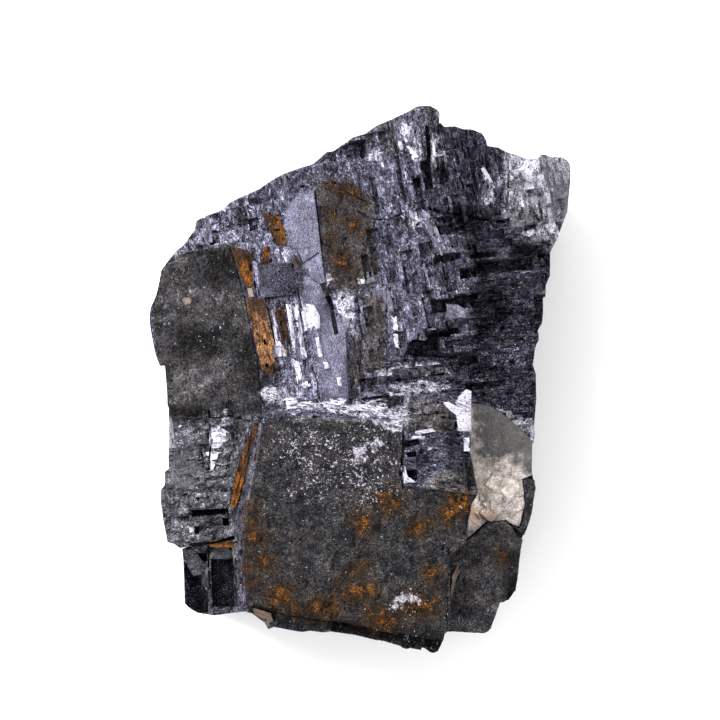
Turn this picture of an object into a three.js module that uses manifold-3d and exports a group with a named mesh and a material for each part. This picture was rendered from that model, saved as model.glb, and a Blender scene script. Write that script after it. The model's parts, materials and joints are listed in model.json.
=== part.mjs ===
// A hand specimen of galena, the cubic lead ore: a mass of intergrown crystals, lying on its cleaved back.
// A large crystal face stands proud at the lower middle. Cleavage blocks step down from it on every side,
// and a vein of calcite fills a pocket in the right flank.
// Millimetres. +X runs across the specimen, +Y along it and +Z up from the surface that it lies on.
import * as THREE from "three";
import { mergeVertices } from "three/addons/utils/BufferGeometryUtils.js";
import Module from "manifold-3d";

const wasm = await Module();
wasm.setup();

// ---- Driving dimensions -----------------------------------------------------------------------------

const RIM_HEIGHT = 15; // the mass is widest about here, where it keeps its whole outline
const RIM_WAVE = 3.5; // the widest line rises and falls by this much round the mass
const CUT_ABOVE = 60; // a cut that is open at the top reaches this high
const JOINT_GAP = 0.3; // between the calcite and the walls of its pocket
const POCKET_FLOOR = 15;
const BACK_STEP = 1.3; // depth of the shallow terraces in the back
const SMALLEST_STEP = 0.35;

// The three cleavage directions of each crystal, as turns about X, Y and Z in degrees.
const UPPER_CRYSTAL = cleavageFrame(-7, 6, 10);
const LOWER_CRYSTAL = cleavageFrame(4, -5, -12);
const LEFT_CRYSTAL = cleavageFrame(-5, 9, 6);
const BACK_CLEAVAGE = cleavageFrame(0, 0, 10);

// ---- Outline of the whole mass, clockwise from its lower left corner --------------------------------

const OUTLINE = [
  [-29.3, -37.4], [-29.5, -30.1], [-29.7, -28.3], [-31.0, -27.4], [-32.1, -27.1], [-32.8, -23.4],
  [-33.2, -20.5], [-33.2, -18.4], [-32.6, -17.6], [-32.6, -15.4], [-31.9, -14.9], [-31.9, -9.6],
  [-32.2, -2.6], [-32.6, 2.3], [-33.5, 2.4], [-34.3, 4.6], [-35.1, 8.8], [-35.2, 10.7],
  [-35.0, 12.0], [-34.1, 14.0], [-33.5, 16.5], [-33.3, 18.2], [-32.6, 19.3], [-30.7, 21.6],
  [-29.5, 22.4], [-27.7, 25.3], [-27.4, 26.5], [-26.4, 27.3], [-25.0, 27.6], [-22.9, 28.4],
  [-21.7, 29.6], [-20.3, 30.3], [-16.8, 31.9], [-14.9, 33.3], [-12.3, 34.5], [-7.7, 36.1],
  [-5.6, 38.0], [-4.4, 38.2], [-1.1, 40.5], [0.8, 41.0], [2.8, 42.4], [5.2, 43.4],
  [8.2, 44.8], [9.6, 45.6], [11.7, 45.7], [12.9, 45.1], [13.3, 44.5], [13.3, 43.0],
  [14.1, 42.2], [16.0, 42.3], [17.3, 41.8], [19.0, 41.8], [20.4, 41.2], [21.1, 40.1],
  [21.3, 39.1], [23.2, 38.8], [24.2, 38.2], [28.3, 36.8], [29.7, 37.0], [30.3, 37.6],
  [31.2, 37.6], [32.0, 37.2], [33.7, 37.2], [34.7, 36.7], [35.2, 35.7], [35.2, 33.1],
  [34.7, 28.1], [33.2, 24.1], [31.8, 21.3], [31.8, 17.4], [31.1, 15.8], [31.1, 13.9],
  [30.7, 13.6], [30.7, 11.4], [30.5, 9.5], [29.8, 8.2], [29.9, 6.6], [29.4, 5.7],
  [29.0, 2.4], [29.5, 0.9], [29.5, -2.9], [29.1, -7.7], [29.2, -9.2], [28.7, -12.3],
  [28.8, -15.4], [29.3, -18.1], [28.6, -22.6], [27.3, -26.2], [26.8, -28.2], [26.2, -33.4],
  [25.9, -35.2], [24.8, -36.8], [23.3, -37.2], [22.7, -39.0], [21.9, -41.1], [21.6, -42.1],
  [20.8, -42.3], [14.5, -41.9], [14.1, -42.2], [13.7, -44.0], [13.0, -45.4], [12.3, -45.7],
  [7.8, -45.0], [5.3, -44.2], [-0.8, -42.7], [-4.7, -42.2], [-8.3, -41.8], [-9.6, -42.0],
  [-14.2, -41.2], [-15.3, -41.6], [-15.9, -40.5], [-18.2, -38.8], [-19.2, -38.6], [-24.3, -39.4],
  [-27.2, -39.0], [-28.7, -38.1],
];

// ---- Crystal blocks ---------------------------------------------------------------------------------
// Each rises from the back to one flat face. The face is z high at the point `at` and climbs by `rise` mm
// per mm along X and Y. Where two blocks stand in the same place, the higher face shows.

const BLOCKS = {
  left_dull_face: {
    outline: [[-32.5, 19.2], [-26.7, 21.6], [-22.0, 22.8], [-19.4, 16.0], [-15.8, -0.9], [-15.6, -7.4],
      [-31.6, -6.5], [-31.9, 2.0], [-33.0, 3.6], [-34.4, 9.0], [-34.3, 11.5], [-32.9, 16.0]],
    at: [-25, 8], z: 25.5, rise: [0.3, -0.05],
  },
  top_left_rim: {
    outline: [[-32.1, 19.2], [-29.0, 22.2], [-27.0, 25.6], [-22.5, 28.0], [-16.5, 31.3], [-12.6, 33.8],
      [-10.0, 31.6], [-12.5, 27.4], [-16.3, 23.2], [-21.3, 22.2], [-26.7, 21.6]],
    at: [-22, 26], z: 24.5, rise: [0.25, -0.35],
  },
  stained_bevel: {
    outline: [[-22.8, 22.6], [-18.4, 22.9], [-17.6, 15.4], [-16.0, 13.6], [-14.3, 6.3], [-13.2, -1.6],
      [-13.6, -5.0], [-18.4, -4.2], [-20.4, 9.0]],
    at: [-17.6, 13.5], z: 28.9, rise: [0.95, 0.09],
  },
  strip_zone: {
    outline: [[-18.6, 22.9], [-15.4, 27.4], [-12.5, 29.4], [-11.4, 21.6], [-9.8, 13.2], [-5.6, -6.5],
      [-15.9, -6.7], [-15.0, -0.9], [-15.8, 6.3], [-17.0, 13.7], [-17.8, 18.0]],
    at: [-12, 8], z: 31.6, rise: [0.12, -0.13],
  },
  matt_patch: {
    outline: [[-17.2, 19.2], [-11.4, 19.4], [-9.2, 14.4], [-16.6, 13.6]],
    at: [-13, 17], z: 30.9, rise: [0.05, -0.1],
  },
  smooth_strip: {
    outline: [[-13.7, 30.6], [-7.7, 31.6], [-5.7, 14.9], [-2.5, 8.2], [-1.7, -6.6], [-5.8, -6.6],
      [-8.7, 8.2], [-10.0, 14.1], [-11.6, 21.6]],
    at: [-7.5, 13], z: 33.0, rise: [0.1, -0.16],
  },
  olive_face: {
    outline: [[-7.4, 32.3], [-2.5, 32.9], [2.5, 29.9], [2.0, 23.3], [3.3, 18.2], [1.7, 15.4],
      [-3.3, 14.9], [-5.6, 15.2]],
    at: [-2, 23], z: 30.6, rise: [-0.1, -0.14],
  },
  upper_rough_face: {
    outline: [[-12.6, 33.8], [-5.2, 37.2], [-0.9, 39.7], [5.0, 42.5], [11.0, 44.4], [12.4, 42.4],
      [11.7, 29.0], [15.2, 25.4], [18.7, 20.9], [19.7, 17.4], [17.5, 13.6], [19.0, 11.6], [20.0, 9.7],
      [19.4, 7.5], [15.6, 6.9], [13.7, 8.2], [11.8, 7.9], [11.0, 6.5], [8.7, 6.7], [7.8, 5.1],
      [6.3, 1.9], [5.8, -5.4], [-1.7, -5.9], [-2.8, 8.2], [-5.7, 14.9], [-7.9, 31.0], [-13.6, 30.7]],
    at: [3, 10], z: 32.2, rise: [-0.05, -0.18],
  },
  crest_face: {
    outline: [[5.2, 42.4], [9.8, 44.8], [12.4, 44.4], [12.7, 42.0], [12.0, 34.0], [9.5, 29.5],
      [7.0, 33.0]],
    at: [10, 38], z: 29.6, rise: [0.12, -0.25],
  },
  striated_face: {
    outline: [[13.0, 42.0], [16.0, 41.4], [20.2, 40.0], [21.0, 38.2], [24.2, 37.4], [24.0, 27.4],
      [18.3, 27.4], [13.3, 28.6], [10.8, 30.0], [12.0, 36.0]],
    at: [17, 34], z: 27.2, rise: [-0.16, -0.2],
  },
  ear_face: {
    outline: [[24.4, 37.2], [28.3, 36.1], [30.8, 36.8], [34.2, 36.2], [34.5, 33.0], [33.9, 28.1],
      [32.5, 23.4], [31.3, 22.0], [24.2, 23.6], [23.6, 29.6]],
    at: [29, 30], z: 28.4, rise: [-0.14, -0.12],
  },
  hollow_shoulder: {
    outline: [[12.0, 29.2], [24.0, 28.2], [25.8, 22.8], [22.0, 14.0], [18.7, 11.1], [17.5, 13.6],
      [19.7, 17.4], [15.2, 25.4]],
    at: [19, 21], z: 27.4, rise: [-0.35, 0.1],
  },
  dark_hollow: {
    outline: [[11.7, 29.0], [24.0, 28.0], [31.2, 21.6], [30.9, 14.0], [29.6, 9.0], [28.9, 5.0],
      [28.6, 0.0], [28.9, -11.0], [24.0, -7.4], [18.4, -5.4], [12.0, -2.6], [6.3, 1.5], [7.8, 5.3],
      [12.3, 9.1]],
    at: [22, 9], z: 24.6, rise: [-0.28, -0.03],
  },
  striped_shelf: {
    outline: [[2.5, 3.4], [7.6, 4.2], [13.2, 2.9], [17.4, -1.2], [17.0, -3.4], [7.0, -2.9], [2.2, -3.0]],
    at: [8, 0], z: 33.9, rise: [-0.08, -0.42],
  },
  bright_ledge: {
    outline: [[-12.5, -3.4], [-1.7, -3.1], [6.0, -2.7], [7.5, -4.0], [7.0, -8.1], [2.0, -6.8],
      [-11.3, -6.5], [-15.6, -7.2], [-16.0, -5.5]],
    at: [-3, -5], z: 35.8, rise: [-0.02, -0.78],
  },
  front_face: {
    outline: [[-16.3, -7.4], [-11.3, -6.3], [2.0, -6.6], [7.0, -8.1], [6.8, -17.2], [11.7, -17.6],
      [19.9, -18.6], [18.8, -21.0], [18.3, -23.8], [18.0, -26.8], [14.8, -29.4], [14.5, -41.6],
      [13.8, -43.0], [13.0, -44.7], [10.0, -44.4], [5.3, -43.4], [-0.8, -41.9], [-8.3, -41.1],
      [-12.8, -40.4], [-16.3, -38.8], [-18.9, -37.4], [-19.6, -31.3], [-19.6, -27.3], [-18.3, -19.6],
      [-17.8, -16.1], [-16.8, -12.9]],
    at: [-1, -24], z: 36.6, rise: [0.02, 0.06],
  },
  upper_front_bevel: {
    outline: [[-16.3, -7.2], [-16.8, -12.9], [-17.8, -16.1], [-18.3, -19.6], [-19.6, -27.3],
      [-23.0, -27.0], [-23.2, -15.4], [-21.0, -7.0]],
    at: [-18.3, -19.6], z: 36.3, rise: [1.3, -0.15],
  },
  lower_front_bevel: {
    outline: [[-19.4, -25.0], [-19.6, -31.3], [-18.9, -37.6], [-21.2, -38.6], [-21.0, -31.3],
      [-21.6, -25.2]],
    at: [-19.6, -29], z: 35.4, rise: [1.6, 0.12],
  },
  step_block: {
    outline: [[6.6, -2.7], [14.2, -2.2], [17.9, -3.8], [18.3, -8.6], [18.4, -12.8], [19.2, -15.8],
      [19.6, -18.8], [11.7, -17.8], [6.8, -17.4], [7.0, -8.1]],
    at: [13, -10], z: 36.3, rise: [-0.16, 0.06],
  },
  left_block: {
    outline: [[-31.7, -6.2], [-16.8, -6.8], [-19.4, -11.3], [-20.4, -15.6], [-21.0, -20.8],
      [-20.4, -26.9], [-31.6, -27.1], [-32.4, -23.2], [-32.8, -20.5], [-32.6, -18.6], [-31.4, -15.0]],
    at: [-27, -17], z: 30.4, rise: [0.14, -0.05],
  },
  lower_left_column: {
    outline: [[-25.4, -27.2], [-20.2, -27.2], [-20.2, -39.0], [-24.3, -39.2], [-25.3, -38.9]],
    at: [-23, -33], z: 27.4, rise: [0.1, 0.06],
  },
  lower_left_corner: {
    outline: [[-29.6, -27.3], [-24.6, -26.9], [-24.6, -38.9], [-27.0, -38.8], [-28.9, -37.6]],
    at: [-27.5, -33], z: 24.8, rise: [0.25, 0.16],
  },
  lower_right_face: {
    outline: [[17.7, -26.9], [19.3, -25.7], [21.1, -24.0], [24.2, -23.6], [25.3, -24.6], [25.9, -27.0],
      [25.2, -37.0], [24.0, -37.1], [22.2, -39.2], [21.2, -41.7], [14.5, -41.4], [14.7, -32.9],
      [14.8, -29.4]],
    at: [20, -33], z: 31.6, rise: [-0.1, 0.05],
  },
  lower_right_flank: {
    outline: [[24.3, -25.2], [26.9, -26.0], [26.4, -30.8], [25.6, -35.0], [24.5, -36.4], [23.1, -36.8]],
    at: [25.5, -31], z: 28.4, rise: [-0.7, 0.05],
  },
  right_rim: {
    outline: [[27.0, -16.2], [28.7, -16.4], [28.9, -18.4], [28.2, -22.6], [27.0, -25.6], [25.4, -24.4],
      [27.0, -20.0]],
    at: [28, -20], z: 27.8, rise: [-0.2, 0],
  },
};

// A splinter that bevels the lower edge of the large face. No step is broken out of it.
const SPLINTER = {
  outline: [[-18.3, -37.4], [-16.0, -37.4], [-13.3, -37.8], [-13.2, -40.4], [-14.3, -41.4],
    [-15.3, -41.6], [-16.3, -40.3], [-17.7, -39.6], [-18.3, -38.6]],
  at: [-16, -38], z: 33, rise: [0.15, 0.8],
};

// ---- Calcite vein -----------------------------------------------------------------------------------

const CALCITE = {
  outline: [[18.7, -4.1], [21.7, -4.6], [24.3, -6.4], [27.0, -8.8], [28.5, -10.5], [28.4, -15.9],
    [26.9, -16.6], [27.3, -20.8], [26.4, -24.4], [25.3, -23.9], [24.3, -23.2], [21.1, -23.6],
    [19.3, -25.3], [17.9, -26.5], [18.2, -23.8], [18.7, -20.8], [19.9, -19.0], [19.3, -15.8],
    [18.6, -12.8], [18.5, -8.6]],
  at: [24, -13], z: 28.2, rise: [-0.1, 0.04],
};
const CALCITE_GRAINS = 20; // blunt crystals over its lower, coarser part
const COARSE_CALCITE = [[20.0, -15.2], [26.6, -15.6], [26.7, -20.6], [26.0, -23.4], [20.9, -23.0],
  [18.8, -24.8], [20.2, -19.0]];

// ---- Rough ground: steps broken out of a face, or left standing on it -------------------------------
// `width`, `length` and `depth` are ranges in mm. The length runs across the specimen or along it.

const ACROSS = 0;
const ALONG = 1;
const SMOOTH_FACES = ["smooth_strip", "matt_patch", "olive_face", "left_dull_face", "front_face"];
const ROUGH_GROUND = [
  { on: "upper_rough_face", crystal: UPPER_CRYSTAL, runs: ALONG, cuts: 17, lumps: 15,
    width: [0.9, 2.8], length: [2, 8], depth: [0.3, 0.9] },
  { on: "crest_face", crystal: UPPER_CRYSTAL, runs: ALONG, cuts: 3, lumps: 2,
    width: [0.8, 1.6], length: [3, 9], depth: [0.4, 1.1] },
  { on: "striated_face", crystal: UPPER_CRYSTAL, runs: ALONG, cuts: 8, lumps: 6,
    width: [0.7, 1.8], length: [3, 9], depth: [0.5, 2.0] },
  { on: "ear_face", crystal: UPPER_CRYSTAL, runs: ALONG, cuts: 4, lumps: 3,
    width: [1.2, 2.8], length: [3, 8], depth: [0.3, 0.9] },
  { on: "hollow_shoulder", crystal: LEFT_CRYSTAL, runs: ACROSS, cuts: 5, lumps: 6,
    width: [0.8, 2.2], length: [2, 6], depth: [0.5, 1.8] },
  { on: "dark_hollow", crystal: LEFT_CRYSTAL, runs: ACROSS, cuts: 12, lumps: 13,
    width: [0.8, 2.4], length: [3, 11], depth: [0.4, 1.7] },
  { on: "striped_shelf", crystal: LEFT_CRYSTAL, runs: ACROSS, cuts: 3, lumps: 4,
    width: [0.5, 1.0], length: [4, 10], depth: [0.3, 0.6] },
  { on: "bright_ledge", crystal: LOWER_CRYSTAL, runs: ACROSS, cuts: 3, lumps: 3,
    width: [0.5, 1.0], length: [3, 9], depth: [0.3, 0.6] },
  { on: "step_block", crystal: LOWER_CRYSTAL, runs: ACROSS, cuts: 6, lumps: 4,
    width: [0.7, 1.7], length: [3, 8], depth: [0.3, 0.9] },
  { on: "strip_zone", crystal: UPPER_CRYSTAL, runs: ALONG, cuts: 4, lumps: 4,
    width: [0.7, 1.3], length: [3, 9], depth: [0.3, 0.6] },
  { on: "top_left_rim", crystal: UPPER_CRYSTAL, runs: ALONG, cuts: 6, lumps: 5,
    width: [0.8, 2.0], length: [1.2, 3.4], depth: [0.3, 0.9] },
  { on: "left_block", crystal: LEFT_CRYSTAL, runs: ACROSS, cuts: 4, lumps: 4,
    width: [1.0, 2.6], length: [3, 9], depth: [0.3, 1.0] },
  { on: "lower_left_corner", crystal: LEFT_CRYSTAL, runs: ALONG, cuts: 2, lumps: 2,
    width: [0.8, 1.6], length: [1, 3], depth: [0.3, 0.9] },
];

// ---- Steps with a place of their own ----------------------------------------------------------------
// Boxes along a crystal's cleavage: the middle of the box and its size along the three directions.

const NAMED_CUTS = {
  pocket_above_the_ear: { crystal: UPPER_CRYSTAL, centre: [28.5, 38.4, 27], size: [2.6, 4.2, 9] },
  gully_beside_the_crest: { crystal: UPPER_CRYSTAL, centre: [13.6, 37.5, 31], size: [1.4, 9.5, 8] },
  crack_left_of_the_crest: { crystal: UPPER_CRYSTAL, centre: [6.2, 38.2, 30.5], size: [0.7, 10, 5] },
  dark_pocket: { crystal: UPPER_CRYSTAL, centre: [12.0, 20.7, 31.4], size: [2.6, 3.4, 4.6] },
  crack_below_the_strip: { crystal: UPPER_CRYSTAL, centre: [-4.7, 11.6, 33.4], size: [0.8, 8.5, 3] },
  slot_in_the_left_block: { crystal: LEFT_CRYSTAL, centre: [-25.0, -22.2, 31.6], size: [6.0, 0.8, 4.4] },
  notch_in_the_left_block: { crystal: LEFT_CRYSTAL, centre: [-22.4, -23.7, 31.4], size: [0.9, 1.2, 4] },
  groove_up_the_left_block: {
    crystal: LEFT_CRYSTAL, centre: [-25.2, -9.6, 30.6], size: [0.7, 10.5, 3.0],
  },
  window_in_the_lower_left: {
    crystal: cleavageFrame(0, -4, 1), centre: [-22.8, -33.9, 29.4], size: [4.2, 8.0, 5.6],
  },
  window_at_the_corner: { crystal: LEFT_CRYSTAL, centre: [-28.6, -36.0, 25.4], size: [5.4, 6.4, 5] },
  cube_hole: { crystal: LOWER_CRYSTAL, centre: [8.4, -15.9, 36.2], size: [2.3, 2.2, 4.2] },
  gap_under_the_ear: { crystal: UPPER_CRYSTAL, centre: [28.4, 21.7, 27.6], size: [6.8, 1.6, 8] },
  shadow_above_the_shelf: { crystal: LEFT_CRYSTAL, centre: [13.6, 7.8, 31.2], size: [5.6, 1.1, 4.2] },
  step_left_of_the_calcite: {
    crystal: cleavageFrame(4, -5, 6), centre: [18.4, -15.2, 33.9], size: [2.0, 8.5, 5.0],
  },
};
const NAMED_LUMPS = {
  lens_facet: { crystal: cleavageFrame(-4, 20, 30), centre: [13.4, 22.6, 30.2], size: [2.4, 9.2, 2.6] },
  second_lens_facet: {
    crystal: cleavageFrame(-6, 15, 24), centre: [16.2, 18.6, 28.9], size: [2.4, 6.6, 3],
  },
  overhang_block: { crystal: LEFT_CRYSTAL, centre: [15.3, 5.6, 29.4], size: [4.6, 2.8, 6] },
  ear_tooth: { crystal: UPPER_CRYSTAL, centre: [27.6, 23.9, 27.6], size: [4.6, 2.6, 3.4] },
  stub_on_the_left_edge: { crystal: LEFT_CRYSTAL, centre: [-31.9, -15.9, 20], size: [1.2, 2.2, 4] },
};

// Corners broken off the underside, as big boxes cut from below.
const BROKEN_CORNERS = {
  lower_right_back: { crystal: LOWER_CRYSTAL, centre: [30, -41, 2], size: [22, 16, 13] },
  upper_left_back: { crystal: UPPER_CRYSTAL, centre: [-33, 35, 1], size: [24, 22, 14] },
  upper_right_back: { crystal: UPPER_CRYSTAL, centre: [36, 38, 3], size: [15, 20, 12] },
  lower_left_back: { crystal: LEFT_CRYSTAL, centre: [-35, -37, 0], size: [14, 15, 12] },
  right_flank_back: { crystal: LOWER_CRYSTAL, centre: [34, 5, 0], size: [12, 24, 10] },
  left_flank_back: { crystal: LEFT_CRYSTAL, centre: [-37, -2, 1], size: [9, 20, 13] },
};
const REST_PATCH = 13; // the back stays unbroken this far from its middle
const BACK_TERRACES = 12;
const FRONT_EDGE_STEPS = 80;
const BACK_EDGE_STEPS = 90;
const FRONT_EDGE_STEP = [3, 12]; // range of their width and length
const BACK_EDGE_STEP = [6, 18];

// ---- Tools ------------------------------------------------------------------------------------------

function cleavageFrame(aboutX, aboutY, aboutZ) {
  const [x, y, z] = [aboutX, aboutY, aboutZ].map(THREE.MathUtils.degToRad);
  return new THREE.Quaternion().setFromEuler(new THREE.Euler(x, y, z, "ZYX"));
}

// Repeatable numbers from 0 to 1 for a seed.
function numbersFrom(seed) {
  let state = seed;
  return () => {
    state = (state + 0x6d2b79f5) | 0;
    let t = Math.imul(state ^ (state >>> 15), 1 | state);
    t = (t + Math.imul(t ^ (t >>> 7), 61 | t)) ^ t;
    return ((t ^ (t >>> 14)) >>> 0) / 4294967296;
  };
}

const between = (random, [low, high]) => low + (high - low) * random();

function solidOf(geometry) {
  const bare = geometry.clone();
  bare.deleteAttribute("normal");
  bare.deleteAttribute("uv");
  const merged = mergeVertices(bare, 1e-4);
  return new wasm.Manifold(new wasm.Mesh({
    numProp: 3,
    vertProperties: merged.attributes.position.array,
    triVerts: new Uint32Array(merged.index.array),
  }));
}

function geometryOf(solid) {
  const mesh = solid.getMesh();
  const geometry = new THREE.BufferGeometry();
  geometry.setAttribute("position", new THREE.BufferAttribute(mesh.vertProperties, 3));
  geometry.setIndex(new THREE.BufferAttribute(mesh.triVerts, 1));
  geometry.computeVertexNormals();
  return geometry;
}

const faceHeight = ({ at, z, rise }, x, y) => z + rise[0] * (x - at[0]) + rise[1] * (y - at[1]);

// A prism over the outline, from a flat bottom to a sloping face.
function block(face, bottom) {
  const shape = new THREE.Shape(face.outline.map(([x, y]) => new THREE.Vector2(x, y)));
  const geometry = new THREE.ExtrudeGeometry(shape, { depth: 1, bevelEnabled: false });
  const position = geometry.attributes.position;
  for (let i = 0; i < position.count; i++) {
    const top = position.getZ(i) > 0.5;
    position.setZ(i, top ? faceHeight(face, position.getX(i), position.getY(i)) : bottom);
  }
  return solidOf(geometry);
}

function cleavageBox({ crystal, centre, size }) {
  const geometry = new THREE.BoxGeometry(...size);
  geometry.applyQuaternion(crystal);
  geometry.translate(...centre);
  return solidOf(geometry);
}

const join = (solids) => solids.reduce((sum, solid) => sum.add(solid));

function inside(outline, x, y) {
  let odd = false;
  outline.forEach(([x1, y1], i) => {
    const [x2, y2] = outline[(i + outline.length - 1) % outline.length];
    if (y1 > y !== y2 > y && x < ((x2 - x1) * (y - y1)) / (y2 - y1) + x1) odd = !odd;
  });
  return odd;
}

function pointInside(outline, random) {
  const xs = outline.map(([x]) => x);
  const ys = outline.map(([, y]) => y);
  const ranges = [[Math.min(...xs), Math.max(...xs)], [Math.min(...ys), Math.max(...ys)]];
  for (;;) {
    const [x, y] = ranges.map((range) => between(random, range));
    if (inside(outline, x, y)) return [x, y];
  }
}

// The outline grown outwards by a distance, with mitred corners. The outline runs clockwise.
function grown(outline, distance) {
  return outline.map(([x, y], i) => {
    const [before, after] = [outline.at(i - 1), outline[(i + 1) % outline.length]];
    const here = new THREE.Vector2(x, y);
    const into = here.clone().sub(new THREE.Vector2(...before)).normalize();
    const out = new THREE.Vector2(...after).sub(here).normalize();
    const normal = new THREE.Vector2(-into.y, into.x).add(new THREE.Vector2(-out.y, out.x)).normalize();
    const reach = distance / Math.max(0.5, normal.dot(new THREE.Vector2(-into.y, into.x)));
    return [x + normal.x * reach, y + normal.y * reach];
  });
}

// How far a turned box reaches from its middle along a direction.
function reachAlong(direction, crystal, size) {
  const local = direction.clone().applyQuaternion(crystal.clone().invert());
  return (Math.abs(local.x) * size[0] + Math.abs(local.y) * size[1] + Math.abs(local.z) * size[2]) / 2;
}

// ---- The galena mass --------------------------------------------------------------------------------

// The height at which the side of the mass reaches its outline.
const rimHeight = (x, y) => RIM_HEIGHT + RIM_WAVE * (0.6 * Math.sin(x / 8) + 0.4 * Math.cos(y / 7));

const surfaceHeight = (x, y) => Math.max(RIM_HEIGHT, ...Object.values(BLOCKS)
  .filter(({ outline }) => inside(outline, x, y))
  .map((face) => faceHeight(face, x, y)));

// The blocks at the edge run on past the outline, and the outline trims them.
function pastTheEdge([x, y]) {
  const near = OUTLINE.some(([edgeX, edgeY]) => Math.hypot(x - edgeX, y - edgeY) < 1.7);
  return near ? [x * 1.05, y * 1.05] : [x, y];
}

function crystalBlocks() {
  const base = { outline: OUTLINE, at: [0, 0], z: RIM_HEIGHT, rise: [0, 0] };
  const faces = Object.values(BLOCKS).map((face) => ({ ...face, outline: face.outline.map(pastTheEdge) }));
  return join([base, ...faces].map((face) => block(face, 0)));
}

// Whether the footprint of a box in a crystal's frame comes over one of the smooth faces.
function reachesSmoothFace([x, y], [width, length], crystal) {
  const corners = [-0.5, 0, 0.5].flatMap((u) => [-0.5, 0, 0.5].map((v) => (
    new THREE.Vector3(u * width, v * length, 0).applyQuaternion(crystal))));
  return SMOOTH_FACES.some((name) => corners.some((corner) => (
    inside(BLOCKS[name].outline, x + corner.x, y + corner.y))));
}

function roughGround(random) {
  const cuts = [];
  const lumps = [];
  for (const ground of ROUGH_GROUND) {
    for (let i = 0; i < ground.cuts + ground.lumps; i++) {
      const [x, y] = pointInside(BLOCKS[ground.on].outline, random);
      const ranges = [ground.width, ground.length, ground.depth];
      const [width, length, deep] = ranges.map((range) => between(random, range));
      const size = ground.runs === ACROSS ? [length, width] : [width, length];
      const top = surfaceHeight(x, y);
      if (reachesSmoothFace([x, y], size, ground.crystal)) continue;
      if (i < ground.cuts) {
        const centre = [x, y, top - deep + CUT_ABOVE / 2];
        cuts.push(cleavageBox({ crystal: ground.crystal, centre, size: [...size, CUT_ABOVE] }));
      } else {
        const centre = [x, y, top - deep];
        lumps.push(cleavageBox({ crystal: ground.crystal, centre, size: [...size, 4 * deep] }));
      }
    }
  }
  return { cuts: join(cuts), lumps: join(lumps) };
}

// Steps broken from the edge all round: down from the face to the rim, or up from the back to it. A step
// further from the rim goes deeper, so the sides are rounded in stairs and the rim keeps the outline.
function edgeSteps(count, fromBack, random) {
  const up = new THREE.Vector3(0, 0, 1);
  return Array.from({ length: count }, () => {
    const i = Math.floor(random() * OUTLINE.length);
    const [a, b] = [OUTLINE[i], OUTLINE[(i + 1) % OUTLINE.length]].map((p) => new THREE.Vector3(...p, 0));
    const inward = b.clone().sub(a).normalize().cross(up);
    const crystal = [UPPER_CRYSTAL, LOWER_CRYSTAL, LEFT_CRYSTAL][a.y > 3 ? 0 : a.x > -16 ? 1 : 2];
    const [width, length] = [0, 0].map(() => between(random, fromBack ? BACK_EDGE_STEP : FRONT_EDGE_STEP));
    const fromRim = between(random, [0.6, 14.6]);
    const depth = SMALLEST_STEP + (fromBack ? 0.42 : 0.16) * fromRim * (0.3 + random());
    const middle = a.clone().lerp(b, random());
    middle.addScaledVector(inward, depth - reachAlong(inward, crystal, [width, length, 0]));
    middle.z = rimHeight(a.x, a.y) + (fromBack ? -1 : 1) * (fromRim + CUT_ABOVE / 2);
    return cleavageBox({ crystal, centre: middle.toArray(), size: [width, length, CUT_ABOVE] });
  });
}

// Shallow terraces that run in from the edge of the back, clear of the patch that the mass rests on.
function backTerraces(random) {
  const terraces = [];
  while (terraces.length < BACK_TERRACES) {
    const [x, y] = OUTLINE[Math.floor(random() * OUTLINE.length)];
    const ranges = [[8, 26], [8, 26], [0.6 * BACK_STEP, 2 * BACK_STEP]];
    const size = ranges.map((range) => between(random, range));
    const inTheWay = Math.abs(x) < REST_PATCH + size[0] / 2 && Math.abs(y) < REST_PATCH + size[1] / 2;
    if (!inTheWay) terraces.push(cleavageBox({ crystal: BACK_CLEAVAGE, centre: [x, y, 0], size }));
  }
  return join(terraces);
}

function galenaMass() {
  const random = numbersFrom(7);
  const ground = roughGround(random);
  const column = { outline: OUTLINE, at: [0, 0], z: CUT_ABOVE, rise: [0, 0] };
  const pocket = { ...CALCITE, outline: grown(CALCITE.outline, JOINT_GAP), z: CUT_ABOVE, rise: [0, 0] };
  const raised = join([crystalBlocks(), ground.lumps, ...Object.values(NAMED_LUMPS).map(cleavageBox)]);
  const cut = join([
    ground.cuts,
    ...Object.values(NAMED_CUTS).map(cleavageBox),
    ...edgeSteps(FRONT_EDGE_STEPS, false, random),
    ...edgeSteps(BACK_EDGE_STEPS, true, random),
    ...Object.values(BROKEN_CORNERS).map(cleavageBox),
    backTerraces(random),
    block(pocket, POCKET_FLOOR),
  ]);
  const splinter = block(SPLINTER, RIM_HEIGHT);
  return largestPiece(raised.subtract(cut).add(splinter).intersect(block(column, 0)));
}

// The cuts can free small chips, which a real specimen would have lost.
function largestPiece(solid) {
  return solid.decompose().reduce((best, piece) => (piece.volume() > best.volume() ? piece : best));
}

// ---- The calcite ------------------------------------------------------------------------------------

function calciteVein() {
  const random = numbersFrom(21);
  const bottom = POCKET_FLOOR + JOINT_GAP;
  const grains = Array.from({ length: CALCITE_GRAINS }, () => {
    const [x, y] = pointInside(COARSE_CALCITE, random);
    const crystal = cleavageFrame(between(random, [-35, 35]), between(random, [-35, 35]), 360 * random());
    const width = between(random, [1.0, 2.6]);
    const centre = [x, y, faceHeight(CALCITE, x, y) - 0.35 * width];
    return cleavageBox({ crystal, centre, size: [width, width * between(random, [0.8, 1.6]), width] });
  });
  const column = block({ ...CALCITE, z: CUT_ABOVE, rise: [0, 0] }, bottom);
  return largestPiece(block(CALCITE, bottom).add(join(grains)).intersect(column));
}

// ---- Assembly ---------------------------------------------------------------------------------------

function piece(name, solid, colour, roughness, metalness) {
  const look = { color: colour, roughness, metalness, flatShading: true };
  const material = new THREE.MeshStandardMaterial(look);
  const mesh = new THREE.Mesh(geometryOf(solid), material);
  mesh.name = name;
  return mesh;
}

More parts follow.
